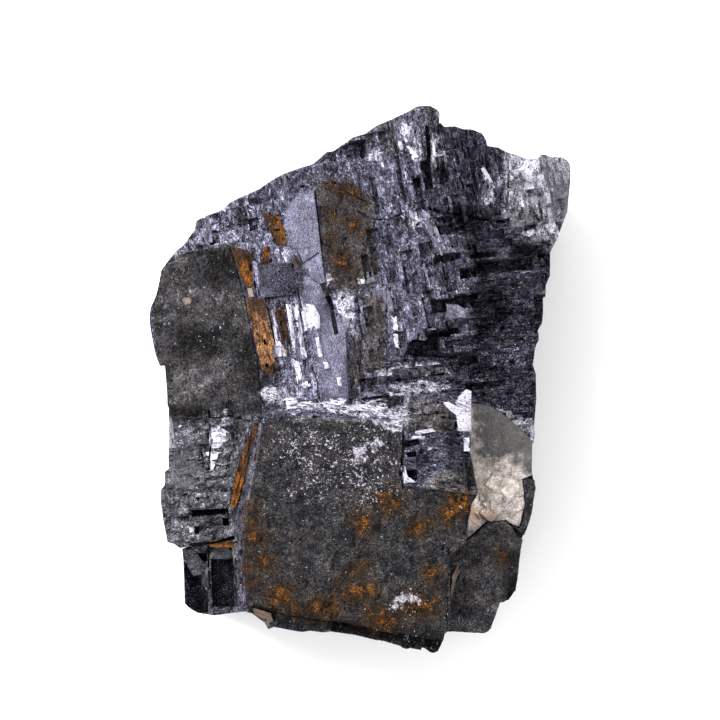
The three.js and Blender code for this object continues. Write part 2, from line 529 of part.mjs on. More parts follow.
const specimen = new THREE.Group();
specimen.name = "galena_specimen";
specimen.add(piece("galena", galenaMass(), 0x5b5c66, 0.35, 0.9));
specimen.add(piece("calcite", calciteVein(), 0xc9b9a4, 0.6, 0));

// The origin is under the middle of the mass, on the surface that it lies on.
const box = new THREE.Box3().setFromObject(specimen);
const middle = box.getCenter(new THREE.Vector3());
specimen.position.set(-middle.x, -middle.y, -box.min.z);

export default specimen;
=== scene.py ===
import json
import math

import bmesh
import bpy
import numpy as np
from mathutils import Euler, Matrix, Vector, noise
from mathutils.bvhtree import BVHTree
from mathutils.geometry import tessellate_polygon

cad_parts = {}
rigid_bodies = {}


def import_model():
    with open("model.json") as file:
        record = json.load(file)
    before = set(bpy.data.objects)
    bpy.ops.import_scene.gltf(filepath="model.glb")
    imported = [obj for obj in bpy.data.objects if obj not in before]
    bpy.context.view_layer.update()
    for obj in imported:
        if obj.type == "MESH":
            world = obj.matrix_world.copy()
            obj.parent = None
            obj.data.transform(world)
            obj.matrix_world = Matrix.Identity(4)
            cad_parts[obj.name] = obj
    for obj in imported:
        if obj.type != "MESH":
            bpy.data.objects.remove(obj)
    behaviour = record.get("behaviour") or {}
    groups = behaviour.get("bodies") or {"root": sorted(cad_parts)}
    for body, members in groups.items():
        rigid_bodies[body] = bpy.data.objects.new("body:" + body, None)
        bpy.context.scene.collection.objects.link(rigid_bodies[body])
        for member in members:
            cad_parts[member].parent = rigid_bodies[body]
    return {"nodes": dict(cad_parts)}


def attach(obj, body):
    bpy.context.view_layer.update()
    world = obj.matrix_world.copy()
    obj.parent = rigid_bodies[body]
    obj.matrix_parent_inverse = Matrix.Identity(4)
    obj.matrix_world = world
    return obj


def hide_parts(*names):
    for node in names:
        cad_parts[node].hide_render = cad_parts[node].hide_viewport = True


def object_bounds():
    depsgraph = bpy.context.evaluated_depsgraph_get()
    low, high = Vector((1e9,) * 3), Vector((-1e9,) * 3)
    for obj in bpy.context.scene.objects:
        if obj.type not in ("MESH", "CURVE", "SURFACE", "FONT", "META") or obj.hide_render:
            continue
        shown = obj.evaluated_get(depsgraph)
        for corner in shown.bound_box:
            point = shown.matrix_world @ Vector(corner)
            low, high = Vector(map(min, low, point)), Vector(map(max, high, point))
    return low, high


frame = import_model()
cad_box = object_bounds()
for leftover in [o for o in bpy.data.objects if o.name in ("Cube", "Light", "Camera")]:
    bpy.data.objects.remove(leftover)

MM = 0.001
rng = np.random.default_rng(13)


def add_object(name, data):
    thing = bpy.data.objects.new(name, data)
    bpy.context.scene.collection.objects.link(thing)
    return thing


# ---- Places on the front ----------------------------------------------------------------------------
# Places on the front are written in a grid, whose second number grows downwards.

GRID_PER_MM = 6
GRID_MIDDLE_X, GRID_MIDDLE_Y = 360, 379.5


def spot(points):
    """Places in mm from the middle of the specimen, from places in the grid."""
    p = np.array(points, float)
    return np.stack([(p[:, 0] - GRID_MIDDLE_X) / GRID_PER_MM, (GRID_MIDDLE_Y - p[:, 1]) / GRID_PER_MM], 1)


def signed_distance(points, outline):
    """Distance in mm from each point to the outline, positive inside it."""
    a = outline
    b = np.roll(outline, -1, 0)
    edge = b - a
    best = np.full(len(points), 1e9)
    odd = np.zeros(len(points), bool)
    for (ax, ay), (bx, by), (ex, ey) in zip(a, b, edge):
        dx, dy = points[:, 0] - ax, points[:, 1] - ay
        t = np.clip((dx * ex + dy * ey) / (ex * ex + ey * ey + 1e-12), 0, 1)
        best = np.minimum(best, np.hypot(dx - t * ex, dy - t * ey))
        crosses = (ay > points[:, 1]) != (by > points[:, 1])
        with np.errstate(divide="ignore", invalid="ignore"):
            odd ^= crosses & (points[:, 0] < ex * (points[:, 1] - ay) / ey + ax)
    return np.where(odd, best, -best)


def turn(about_x, about_y, about_z):
    """Axes of a crystal, as columns, turned by degrees about X, Y and Z in that order."""
    e = Euler([math.radians(v) for v in (about_x, about_y, about_z)], "XYZ")
    return np.array(e.to_matrix())


# Crystals that the faces belong to, and the way that steps run on them.
UPPER = turn(-7, 6, 10)
LOWER = turn(4, -5, -12)
LEFT = turn(-5, 9, 6)
BACK = turn(0, 0, 10)
BEVEL = turn(0, 25, -14)
ACROSS, ALONG = 0, 1

# Zones of the front: outline, crystal, the way that its steps run, steps per square mm, width, length over
# width, depth, share left standing, fine pits per square mm, lightness.
# Each zone's lightness holds painted light and shade: dark in the hollow and on the shelf, light on the
# ledge, the crest and the ear, and on the corner's top strip, which lies in shade.
ZONES = {
    "rough": ([(300, 168), (345, 145), (390, 120), (400, 130), (404, 175), (425, 200), (451, 227), (472, 254),
               (478, 275), (465, 298), (474, 310), (480, 322), (476, 335), (453, 338), (442, 330), (431, 332),
               (426, 340), (412, 340), (398, 368), (395, 395), (350, 400),
               (345, 330), (370, 288), (380, 270), (372, 240), (375, 200), (345, 182), (300, 190)],
              UPPER, ALONG, 0.75, (0.3, 1.2), (1, 4), (0.1, 0.38), 0.3, 2.2, 0.14),
    "crest": ([(391, 120), (437, 105), (438, 125), (430, 205), (404, 180)],
              UPPER, ALONG, 0.9, (0.25, 0.8), (2, 6), (0.1, 0.45), 0.35, 2.0, 0.178),
    "striated": ([(430, 120), (480, 125), (487, 145), (506, 152), (505, 215), (470, 222), (430, 205)],
                 UPPER, ALONG, 1.3, (0.22, 0.7), (2, 7), (0.15, 0.8), 0.4, 2.0, 0.097),
    "ear_foot": ([(503, 204), (536, 206), (537, 230), (522, 240), (503, 224)],
                 UPPER, ALONG, 0.2, (0.35, 1.4), (1, 4), (0.06, 0.25), 0.3, 0.6, 0.2),
    "ear": ([(505, 150), (530, 158), (545, 152), (568, 156), (572, 180), (569, 212), (556, 246), (545, 250),
             (520, 238), (503, 215)],
            UPPER, ALONG, 0.45, (0.35, 1.4), (2, 6), (0.06, 0.25), 0.3, 0.6, 0.385),
    "hollow_top": ([(430, 205), (470, 222), (505, 215), (520, 240), (551, 250), (551, 285), (546, 300),
                    (478, 296), (478, 275), (472, 254), (451, 227)],
                   LEFT, ACROSS, 1.3, (0.22, 0.75), (1.5, 6), (0.12, 0.55), 0.4, 2.6, 0.068),
    "hollow": ([(478, 296), (546, 300), (544, 315), (534, 350), (537, 380), (535, 435), (506, 414),
                (475, 398), (450, 385), (400, 362), (407, 345), (434, 325), (465, 298)],
               LEFT, ACROSS, 1.3, (0.22, 0.75), (1.5, 6), (0.12, 0.55), 0.4, 2.6, 0.0399),
    "shelf": ([(375, 362), (400, 355), (450, 372), (462, 395), (395, 398), (372, 398)],
              LEFT, ACROSS, 1.6, (0.2, 0.5), (3, 9), (0.08, 0.28), 0.45, 2.0, 0.038),
    "ledge": ([(285, 398), (350, 394), (395, 395), (442, 385), (452, 397), (404, 430), (372, 421),
               (292, 418)],
              LOWER, ACROSS, 1.4, (0.2, 0.5), (3, 8), (0.08, 0.22), 0.4, 1.0, 0.16),
    "step_plate": ([(403, 398), (440, 396), (448, 404), (455, 418), (452, 431), (404, 432)],
                   LOWER, ALONG, 0.12, (0.3, 1.0), (1, 3), (0.04, 0.12), 0.4, 0.8, 0.075),
    "step_block": ([(404, 432), (452, 431), (456, 418), (448, 402), (442, 396), (472, 392), (472, 440),
                    (478, 475), (479, 494), (430, 487), (402, 484)],
                   LOWER, ACROSS, 1.1, (0.22, 0.7), (1.5, 6), (0.1, 0.34), 0.4, 1.6, 0.185),
    "matt": ([(257, 263), (303, 262), (305, 297), (262, 299)],
             UPPER, ALONG, 0.05, (0.2, 0.5), (1, 3), (0.04, 0.08), 0.5, 0.6, 0.05),
    "rim": ([(163, 264), (184, 240), (196, 218), (223, 206), (260, 185), (283, 172), (300, 190), (285, 215),
             (262, 240), (232, 246), (200, 250)],
            UPPER, ALONG, 1.0, (0.25, 1.0), (1, 2), (0.1, 0.35), 0.3, 2.2, 0.148),
    "strips": ([(252, 250), (290, 245), (306, 300), (330, 402), (285, 402), (272, 352), (262, 298)],
               UPPER, ALONG, 0.7, (0.3, 0.8), (2, 8), (0.06, 0.2), 0.4, 0.8, 0.205),
    "smooth": ([(283, 190), (314, 188), (326, 290), (347, 330), (350, 402), (328, 402), (306, 325),
                (290, 250)],
               UPPER, ALONG, 0.0, (0.2, 0.4), (1, 4), (0.05, 0.1), 0.0, 0.4, 0.212),
    "olive": ([(314, 184), (345, 180), (375, 200), (372, 240), (380, 270), (370, 290), (328, 290)],
              UPPER, ALONG, 0.35, (0.3, 1.0), (1, 3), (0.06, 0.2), 0.35, 1.2, 0.055),
    "dull_left": ([(148, 264), (200, 248), (230, 244), (246, 300), (262, 390), (262, 415), (160, 415)],
                  LEFT, ALONG, 0.06, (0.4, 1.6), (1, 3), (0.04, 0.12), 0.4, 0.3, 0.045),
    "stained": ([(230, 244), (252, 254), (256, 297), (266, 300), (278, 350), (280, 388), (262, 388),
                 (246, 300)],
                UPPER, ALONG, 0.4, (0.3, 0.7), (2, 6), (0.05, 0.15), 0.4, 0.5, 0.08),
    "bevel": ([(262, 424), (242, 447), (232, 500), (238, 545), (238, 612), (246, 606), (243, 543), (253, 476),
               (262, 440)],
              BEVEL, ALONG, 0.6, (0.2, 0.5), (3, 9), (0.05, 0.2), 0.4, 0.6, 0.056),
    "front": ([(262, 424), (292, 417), (372, 419), (402, 428), (402, 484), (440, 490), (479, 495), (467, 512),
               (467, 540), (449, 556), (447, 630), (443, 650), (420, 648), (392, 642), (355, 633), (283, 624),
               (246, 606), (243, 560), (243, 520), (253, 476)],
              LOWER, ALONG, 0.08, (0.3, 1.3), (1, 3), (0.03, 0.1), 0.4, 0.3, 0.0365),
    "left_block": ([(160, 415), (255, 415), (243, 447), (233, 500), (238, 541), (163, 545), (155, 500)],
                   LEFT, ACROSS, 0.5, (0.4, 1.5), (1, 4), (0.08, 0.35), 0.35, 1.0, 0.152),
    "corner_top": ([(207, 547), (239, 547), (239, 560), (208, 560)],
                   LEFT, ALONG, 0.3, (0.3, 0.8), (1, 3), (0.05, 0.15), 0.3, 0.4, 0.15),
    "corner": ([(178, 541), (238, 541), (238, 616), (178, 616)],
               LEFT, ALONG, 0.3, (0.3, 1.0), (1, 3), (0.06, 0.2), 0.3, 0.4, 0.065),
    "lower_right": ([(461, 544), (476, 533), (487, 523), (506, 520), (519, 530), (522, 545), (518, 580),
                     (512, 604), (500, 606), (490, 636), (445, 633), (448, 577), (449, 556)],
                    LOWER, ALONG, 0.08, (0.3, 1.2), (1, 3), (0.03, 0.12), 0.4, 0.3, 0.050),
}
# The same for the lower sides, for the walls between the front's faces, and for the underside.
SIDE = (0.09, (0.7, 3.4), (1, 4), (0.08, 0.45), 0.0, 0.2)
WALL = (0.25, (0.3, 1.0), (1, 3), (0.08, 0.3), 0.0, 0.6)
UNDER = (0.045, (1.0, 4.0), (1, 4), (0.05, 0.25), 0.0, 0.03)
BARE_TONE = 0.09  # lightness of the sides and the back

# Fine pits: width, length over width, depth, and the share of them that is cut.
PIT = ((0.18, 0.45), (1, 3), (0.1, 0.3))
PIT_SHARE = 0.16

# Heights in mm: all of the front is above the lowest, its walls above the next, nothing but the front
# above the third, and the last is clear of the specimen.
FRONT_FLOOR, WALL_FLOOR, FRONT_ONLY, OVERHEAD = 14, 17, 19, 60

# Cracks: their course, width and depth in mm.
CRACKS = [
    ([(391, 117), (394, 140), (397, 152), (401, 178), (404, 196)], 0.4, 1.2),
    ([(357, 211), (368, 218), (388, 220), (406, 212)], 0.35, 0.8),
    ([(422, 207), (440, 212), (462, 215), (482, 219), (505, 222)], 0.5, 1.4),
    ([(303, 263), (311, 258), (318, 253)], 0.3, 0.6),
    ([(289, 246), (297, 251), (303, 263)], 0.3, 0.6),
    ([(322, 284), (327, 296), (333, 308)], 0.7, 1.6),
    ([(536, 216), (545, 228), (556, 242)], 0.4, 1.0),
    ([(508, 152), (509, 180), (507, 210)], 0.35, 0.8),
    ([(541, 155), (542, 190)], 0.25, 0.5),
    ([(340, 190), (372, 204)], 0.3, 0.6),
    ([(431, 300), (450, 303), (472, 301)], 0.5, 1.2),
    ([(412, 341), (426, 341), (432, 332), (442, 330)], 0.5, 1.4),
    ([(443, 306), (445, 322), (453, 337)], 0.4, 1.0),
    ([(356, 296), (362, 330), (360, 372)], 0.3, 0.6),
    ([(386, 296), (388, 340), (386, 384)], 0.3, 0.6),
    ([(209, 411), (211, 440), (209, 470)], 0.4, 1.0),
    ([(164, 452), (200, 449), (206, 470)], 0.3, 0.6),
    ([(160, 416), (196, 419), (230, 416), (258, 424)], 0.35, 0.8),
    ([(166, 488), (200, 492), (236, 490)], 0.3, 0.6),
    ([(403, 430), (403, 450), (402, 486)], 0.4, 1.0),
    ([(404, 487), (440, 491), (478, 496)], 0.2, 0.3),
    ([(449, 548), (447, 590), (447, 634)], 0.15, 0.3),
    ([(275, 612), (320, 620), (372, 628)], 0.25, 0.5),
    ([(230, 248), (245, 300), (257, 360), (262, 408)], 0.25, 0.5),
    ([(476, 500), (468, 516), (466, 540)], 0.35, 0.8),
    ([(238, 541), (205, 546), (182, 541)], 0.4, 1.0),
    ([(208, 547), (209, 580), (209, 612)], 0.35, 0.8),
]

# Marks on the front, by what they look like. Facets are cut into the surface or stand on it, stains and
# other marks lie on it, and the hollows in LEVELLED are filled.

DULL_FACES = [ZONES["front"][0], ZONES["dull_left"][0], ZONES["lower_right"][0], ZONES["step_plate"][0],
              [(524, 476), (541, 476), (538, 534), (521, 534), (526, 500)],
              [(426, 476), (450, 471), (474, 462), (480, 496), (440, 493), (428, 489)]]
OLIVE = [ZONES["olive"][0],
         [(364, 297), (386, 297), (387, 340), (385, 377), (368, 372), (366, 330)],
         [(350, 338), (364, 336), (364, 378), (352, 400)],
         [(262, 432), (256, 446), (248, 480), (244, 500), (246, 470)]]
RUST = [[(230, 245), (249, 251), (253, 257), (252, 287), (247, 287), (241, 276), (234, 260)],
        [(262, 212), (278, 216), (285, 230), (286, 245), (276, 245), (270, 232), (264, 220)],
        [(264, 247), (270, 246), (268, 262), (262, 266)],
        [(293, 253), (299, 260), (301, 268), (296, 264)],
        [(275, 308), (284, 306), (291, 345), (282, 344)],
        [(254, 425), (258, 422), (258, 429), (251, 447), (245, 475), (241, 493), (235, 508), (231, 506),
         (236, 472), (240, 459)],
        [(209, 540), (234, 540), (235, 547), (210, 547)]]
TAN = [[(247, 300), (264, 298), (268, 314), (274, 342), (272, 352), (278, 367), (272, 377), (262, 369),
        (255, 339), (247, 310)]]
UMBER = [[(226, 242), (252, 248), (258, 260), (245, 259), (238, 262), (242, 280), (234, 268)],
         [(245, 296), (264, 296), (269, 312), (264, 326), (256, 312), (250, 320)],
         [(272, 304), (286, 304), (293, 346), (280, 346)],
         [(290, 250), (300, 256), (304, 270), (294, 266)],
         [(266, 364), (280, 362), (277, 379), (266, 374)],
         [(260, 210), (271, 214), (281, 247), (268, 246), (262, 226)],
         [(252, 424), (260, 422), (254, 450), (246, 478), (240, 478), (246, 448)]]
STAIN = [[(330, 184), (348, 185), (363, 196), (352, 198), (336, 192)],
         [(327, 210), (334, 210), (334, 217), (328, 217)],
         [(342, 217), (357, 221), (363, 232), (350, 229)],
         [(331, 234), (337, 234), (337, 242), (332, 242)],
         [(334, 250), (346, 252), (352, 272), (338, 272)],
         [(451, 495), (468, 494), (471, 508), (458, 516), (448, 521), (439, 518), (442, 509)],
         [(408, 534), (410, 524), (424, 520), (431, 522), (424, 530)],
         [(354, 520), (362, 513), (369, 518), (366, 536), (358, 530)],
         [(373, 500), (385, 490), (399, 496), (398, 509), (382, 512)],
         [(424, 571), (430, 566), (437, 571), (435, 579), (427, 578)],
         [(308, 604), (318, 598), (334, 600), (338, 610), (322, 616), (310, 613)],
         [(291, 606), (300, 603), (301, 610), (294, 612)],
         [(268, 592), (276, 586), (290, 588), (290, 603), (272, 604)],
         [(245, 534), (256, 531), (266, 536), (262, 543), (248, 543)],
         [(249, 508), (254, 508), (254, 530), (250, 529)],
         [(243, 561), (248, 561), (248, 568), (244, 567)],
         [(262, 557), (270, 556), (270, 567), (262, 567)],
         [(248, 580), (256, 580), (255, 587), (249, 587)],
         [(338, 588), (373, 584), (376, 596), (350, 600)],
         [(402, 600), (414, 593), (434, 598), (436, 612), (420, 616), (406, 610)],
         [(364, 614), (388, 608), (404, 614), (391, 630), (370, 628)],
         [(341, 579), (352, 570), (364, 563), (366, 567), (350, 580)],
         [(500, 553), (506, 552), (504, 560), (499, 560)]]
# Painted highlights and reflections: flat facets painted near white where they mirror the lamps, the lit
# ledge among them.
FLASH = [[(301, 312), (307, 304), (314, 305), (320, 316), (320, 328), (305, 331)],
         [(286, 304), (291, 304), (297, 350), (293, 351)],
         [(294, 307), (298, 306), (307, 357), (302, 357)],
         [(272, 312), (274, 312), (278, 341), (275, 341)],
         [(274, 342), (280, 341), (287, 356), (272, 357)],
         [(294, 363), (299, 362), (303, 380), (297, 382)],
         [(315, 338), (319, 337), (323, 356), (319, 357)],
         [(323, 362), (328, 362), (330, 368), (325, 369)],
         [(302, 382), (309, 381), (311, 387), (304, 388)],
         [(337, 378), (341, 377), (342, 386), (338, 386)],
         [(286, 400), (294, 399), (297, 408), (287, 409)],
         [(286, 398), (296, 397), (298, 403), (288, 405)],
         [(296, 403), (308, 401), (314, 404), (300, 407)],
         [(318, 403), (334, 400), (346, 403), (330, 407)],
         [(341, 406), (360, 404), (388, 407), (380, 411), (350, 410)],
         [(397, 140), (401, 140), (404, 149), (400, 150)],
         [(406, 146), (410, 147), (419, 157), (413, 158)],
         [(481, 168), (485, 167), (494, 183), (493, 187), (488, 182)],
         [(415, 431), (432, 428), (436, 431), (418, 434)],
         [(412, 436), (425, 436), (424, 439), (413, 439)],
         [(426, 447), (436, 445), (437, 448), (427, 450)],
         [(210, 428), (222, 426), (225, 432), (227, 438), (218, 448), (209, 448)],
         [(206, 452), (219, 451), (216, 463), (212, 472), (209, 466)],
         [(189, 527), (194, 527), (194, 536), (190, 536)],
         [(442, 401), (455, 405), (458, 397), (466, 389), (471, 391), (471, 431), (458, 431), (456, 415),
          (447, 408)],
         [(463, 438), (469, 437), (470, 451), (464, 451)],
         [(529, 197), (537, 196), (536, 205), (531, 208)],
         [(520, 233), (534, 228), (536, 233), (529, 237)],
         [(432, 141), (434, 141), (436, 157), (433, 156)],
         [(438, 150), (441, 151), (441, 163), (439, 163)],
         [(357, 279), (365, 279), (364, 284), (358, 284)],
         [(391, 317), (396, 317), (399, 331), (393, 330)],
         [(393, 334), (398, 334), (399, 348), (395, 347)],
         [(401, 467), (405, 466), (407, 475), (416, 482), (402, 483)]]
# Painted highlights: glints painted near white and broken up by noise.
GLINTS = [[(283, 399), (300, 402), (330, 403), (352, 406), (386, 406), (394, 411), (386, 415),
           (340, 413), (300, 408), (283, 406)],
          [(330, 400), (398, 400), (402, 412), (396, 419), (360, 416), (330, 410)],
          [(390, 393), (407, 391), (408, 425), (392, 425)],
          [(402, 122), (411, 122), (414, 138), (405, 140)],
          [(409, 136), (418, 138), (423, 160), (414, 160)],
          [(524, 173), (542, 173), (542, 192), (525, 192)],
          [(430, 132), (443, 134), (446, 165), (434, 168)],
          [(481, 166), (484, 166), (496, 186), (492, 189), (486, 180)],
          [(482, 191), (493, 190), (493, 203), (484, 204)],
          [(508, 155), (541, 156), (541, 172), (512, 172)],
          [(511, 206), (518, 206), (517, 214), (511, 214)],
          [(352, 447), (361, 445), (365, 452), (362, 459), (355, 456)],
          [(361, 455), (366, 455), (367, 463), (362, 462)],
          [(368, 443), (376, 439), (382, 443), (380, 452), (371, 450)],
          [(408, 214), (416, 211), (423, 216), (422, 226), (414, 228), (408, 222)],
          [(367, 149), (381, 149), (381, 160), (369, 160)],
          [(324, 275), (330, 275), (330, 287), (325, 287)],
          [(337, 292), (353, 291), (353, 330), (342, 326)],
          [(480, 404), (500, 409), (516, 416), (534, 420), (535, 440), (526, 434), (514, 424), (496, 414)],
          [(389, 607), (401, 594), (422, 596), (420, 601), (402, 602), (392, 610)],
          [(222, 411), (227, 410), (226, 427), (221, 427)],
          [(262, 388), (285, 388), (288, 404), (262, 400)],
          [(375, 372), (392, 366), (430, 363), (452, 370), (440, 374), (400, 376), (378, 380)],
          [(390, 386), (420, 380), (450, 385), (436, 392), (405, 395)],
          [(373, 420), (402, 422), (404, 432), (388, 432)]]
# Painted reflections of dark surroundings and shade: facets sunk a little and painted near black.
BLACK = [[(404, 441), (418, 438), (420, 444), (405, 447)],
         [(406, 452), (416, 451), (417, 456), (407, 457)],
         [(211, 560), (237, 560), (237, 607), (212, 607)],
         [(184, 562), (193, 576), (208, 592), (208, 613), (197, 613), (186, 606)],
         [(196, 553), (207, 554), (207, 562), (202, 561)],
         [(190, 510), (228, 508), (229, 513), (194, 515)],
         [(223, 518), (229, 518), (229, 525), (223, 525)],
         [(195, 526), (200, 526), (199, 534), (195, 534)],
         [(190, 543), (216, 541), (234, 535), (236, 539), (208, 545), (192, 547)],
         [(425, 125), (430, 128), (431, 163), (427, 160)],
         [(407, 471), (414, 471), (413, 477), (408, 477)]]
# Patches made darker: painted shade in cracks, hollows, under knobs and along the lower rim, and darker spots
# of the faces themselves.
DARK_AND_SHADED = [[(160, 406), (206, 406), (206, 424), (184, 428), (160, 424)],
         [(178, 508), (236, 506), (236, 522), (190, 522)],
         [(205, 250), (232, 246), (240, 275), (225, 290), (205, 280)],
         [(244, 335), (258, 340), (262, 385), (246, 388), (236, 360)],
         [(176, 322), (220, 330), (228, 352), (196, 366), (172, 352)],
         [(226, 411), (241, 410), (250, 420), (247, 440), (236, 443), (228, 430)],
         [(424, 122), (444, 126), (444, 172), (428, 168)],
         [(450, 125), (464, 128), (463, 144), (452, 143)],
         [(462, 146), (479, 150), (478, 176), (464, 172)],
         [(424, 206), (492, 208), (505, 222), (470, 234), (430, 222)],
         [(466, 240), (488, 244), (487, 272), (470, 270)],
         [(468, 283), (505, 283), (512, 316), (480, 336), (446, 334), (446, 320), (472, 316)],
         [(508, 236), (554, 238), (550, 258), (512, 254)],
         [(403, 446), (431, 446), (431, 470), (418, 470), (404, 466)],
         [(440, 420), (456, 420), (474, 462), (478, 492), (462, 488), (446, 470)],
         [(524, 476), (540, 476), (536, 532), (524, 530)],
         [(505, 554), (520, 550), (518, 602), (504, 602)],
         [(240, 604), (300, 612), (445, 634), (445, 660), (300, 636)],
         [(466, 500), (476, 502), (470, 524), (462, 520)],
         [(320, 288), (332, 288), (336, 312), (326, 308)]]
# Patches made lighter: painted light on lit edges, crests and steps, and in the corner strip that lies in
# shade, with lighter spots of the faces themselves.
LIGHT_AND_LIT = [[(183, 546), (196, 553), (207, 564), (207, 590), (193, 574), (184, 558)],
        [(257, 430), (262, 432), (254, 475), (249, 508), (245, 544), (244, 604), (239, 604), (240, 544),
         (244, 507), (249, 475)],
        [(170, 292), (236, 288), (240, 297), (204, 303), (170, 304)],
        [(180, 364), (236, 352), (238, 368), (190, 402), (168, 400)],
        [(163, 300), (172, 300), (172, 330), (164, 330)],
        [(367, 147), (382, 147), (383, 163), (369, 163)],
        [(380, 178), (394, 178), (395, 209), (382, 209)],
        [(336, 290), (354, 290), (354, 336), (340, 332)],
        [(411, 211), (423, 211), (423, 224), (412, 224)],
        [(440, 218), (466, 226), (470, 256), (446, 262), (438, 246)],
        [(490, 243), (513, 243), (513, 264), (491, 264)],
        [(488, 271), (534, 271), (536, 290), (490, 291)],
        [(500, 330), (532, 334), (530, 380), (506, 372)]]
LAVENDER = [ZONES["smooth"][0], ZONES["matt"][0],
            [(545, 158), (570, 158), (568, 222), (546, 236), (542, 190)],
            [(510, 214), (534, 214), (536, 228), (520, 232), (510, 228)],
            [(208, 547), (236, 547), (236, 558), (210, 559)],
            [(183, 546), (196, 553), (207, 564), (207, 590), (193, 574), (184, 558)],
            [(168, 452), (196, 448), (205, 480), (190, 490), (170, 486)]]
# Painted light: facets painted pale where they catch some light, such as the lit top edge of a knob.
PALE = [[(421, 208), (429, 214), (437, 228), (444, 247), (442, 256), (434, 247), (427, 228)],
        [(366, 272), (373, 271), (374, 284), (367, 284)],
        [(378, 290), (390, 291), (394, 311), (382, 313)],
        [(446, 304), (458, 305), (468, 311), (474, 315), (470, 318), (448, 318)]]
STEEL = [ZONES["left_block"][0], ZONES["ear"][0], ZONES["corner"][0],
         [(376, 118), (396, 112), (398, 150), (384, 156)],
         [(424, 105), (442, 105), (439, 127), (426, 127)]]
LEVELLED = [[(386, 362), (418, 357), (446, 358), (448, 371), (420, 378), (388, 381)],
            [(416, 399), (436, 396), (446, 402), (447, 413), (420, 415)]]
BEIGE = [[(247, 288), (252, 288), (255, 297), (249, 297)],
         [(252, 607), (262, 610), (272, 613), (273, 621), (267, 624), (260, 618), (254, 613)],
         [(450, 594), (452, 577), (458, 565), (459, 571), (454, 585), (451, 601)],
         [(181, 300), (184, 297), (189, 297), (192, 300), (190, 304), (185, 305)]]
# Where the painted sparks on the dull faces crowd.
SPECKLED = [[(300, 420), (404, 428), (402, 500), (360, 512), (300, 500), (275, 470), (270, 430)],
            [(404, 590), (424, 592), (420, 604), (392, 612)],
            [(376, 632), (443, 640), (440, 656), (390, 650)]]


# ---- Galena: the solid, with its fine cleavage steps ------------------------------------------------

def mesh_arrays(mesh):
    """Points and triangles of a mesh."""
    points = np.empty(len(mesh.vertices) * 3, np.float32)
    mesh.vertices.foreach_get("co", points)
    mesh.calc_loop_triangles()
    faces = np.empty(len(mesh.loop_triangles) * 3, np.int32)
    mesh.loop_triangles.foreach_get("vertices", faces)
    return points.reshape(-1, 3).astype(float), faces.reshape(-1, 3)


def mesh_from(name, points, faces):
    mesh = bpy.data.meshes.new(name)
    mesh.from_pydata(points.tolist(), [], faces.tolist())
    mesh.update()
    return mesh


def closed_copy(node):
    """The node's shape in mm, with its doubled vertices merged."""
    b = bmesh.new()
    b.from_mesh(frame["nodes"][node].data)
    bmesh.ops.scale(b, vec=(1 / MM,) * 3, verts=b.verts)
    bmesh.ops.remove_doubles(b, verts=b.verts, dist=1e-3)
    bmesh.ops.triangulate(b, faces=b.faces)
    mesh = bpy.data.meshes.new(node + "_detail")
    b.to_mesh(mesh)
    b.free()
    return mesh


def surface_samples(points, faces, count):
    """Random points all over a surface, with their normals, and the surface's area."""
    a, b, c = (points[faces[:, i]] for i in range(3))
    cross = np.cross(b - a, c - a)
    area = np.linalg.norm(cross, axis=1) / 2
    picked = rng.choice(len(faces), count, p=area / area.sum())
    u, v = rng.random((2, count))
    flip = u + v > 1
    u[flip], v[flip] = 1 - u[flip], 1 - v[flip]
    at = a[picked] + u[:, None] * (b - a)[picked] + v[:, None] * (c - a)[picked]
    normal = cross[picked] / (2 * area[picked, None] + 1e-12)
    return at, normal, area.sum()


def crystal_at(x, y):
    """The crystal that the side at a point belongs to."""
    return UPPER if y > 3 else LOWER if x > -16 else LEFT


CORNERS = np.array([(x, y, z) for x in (-0.5, 0.5) for y in (-0.5, 0.5) for z in (-0.5, 0.5)])
BOX_FACES = np.array([(0, 1, 3), (0, 3, 2), (4, 6, 7), (4, 7, 5), (0, 4, 5), (0, 5, 1),
                      (2, 3, 7), (2, 7, 6), (0, 2, 6), (0, 6, 4), (1, 5, 7), (1, 7, 3)])


def step_box(at, normal, axes, runs, width, stretch, depth, standing):
    """Corners of a box that cuts into the surface at a point, or stands on it."""
    jitter = turn(*rng.normal(0, 2.2 if rng.random() < 0.7 else 7, 3))
    axes = jitter @ axes
    facing = axes.T @ normal
    k = int(np.argmax(np.abs(facing)))
    out = axes[:, k] * np.sign(facing[k])
    size = np.full(3, width)
    long_axis = runs if runs != k else (runs + 1) % 3
    size[long_axis] *= stretch
    if standing:
        low, high = -1.2 * depth - 0.25, depth
    else:
        low, high = -depth, 0.3 + 0.1 * width
    size[k] = high - low
    centre = at + out * (low + high) / 2
    return centre + (CORNERS * size) @ axes.T


def step_groups(at, normal):
    """The points of each zone, of the sides, the walls and the underside, with what their steps are like."""
    zone = np.full(len(at), -1)
    front = (normal[:, 2] > 0.45) & (at[:, 2] > FRONT_FLOOR)
    for i, (outline, *_) in enumerate(ZONES.values()):
        inside = signed_distance(at[:, :2], spot(outline)) > 0
        zone[front & inside & (zone < 0)] = i
    under = (normal[:, 2] < -0.6) & (zone < 0)
    around, high = (zone < 0) & ~under, at[:, 2] > WALL_FLOOR
    groups = [(np.flatnonzero(zone == i), z[1], z[2], z[3:9]) for i, z in enumerate(ZONES.values())]
    groups.append((np.flatnonzero(around & ~high), None, ALONG, SIDE))
    groups.append((np.flatnonzero(around & high), None, ALONG, WALL))
    groups.append((np.flatnonzero(under), BACK, ALONG, UNDER))
    return groups


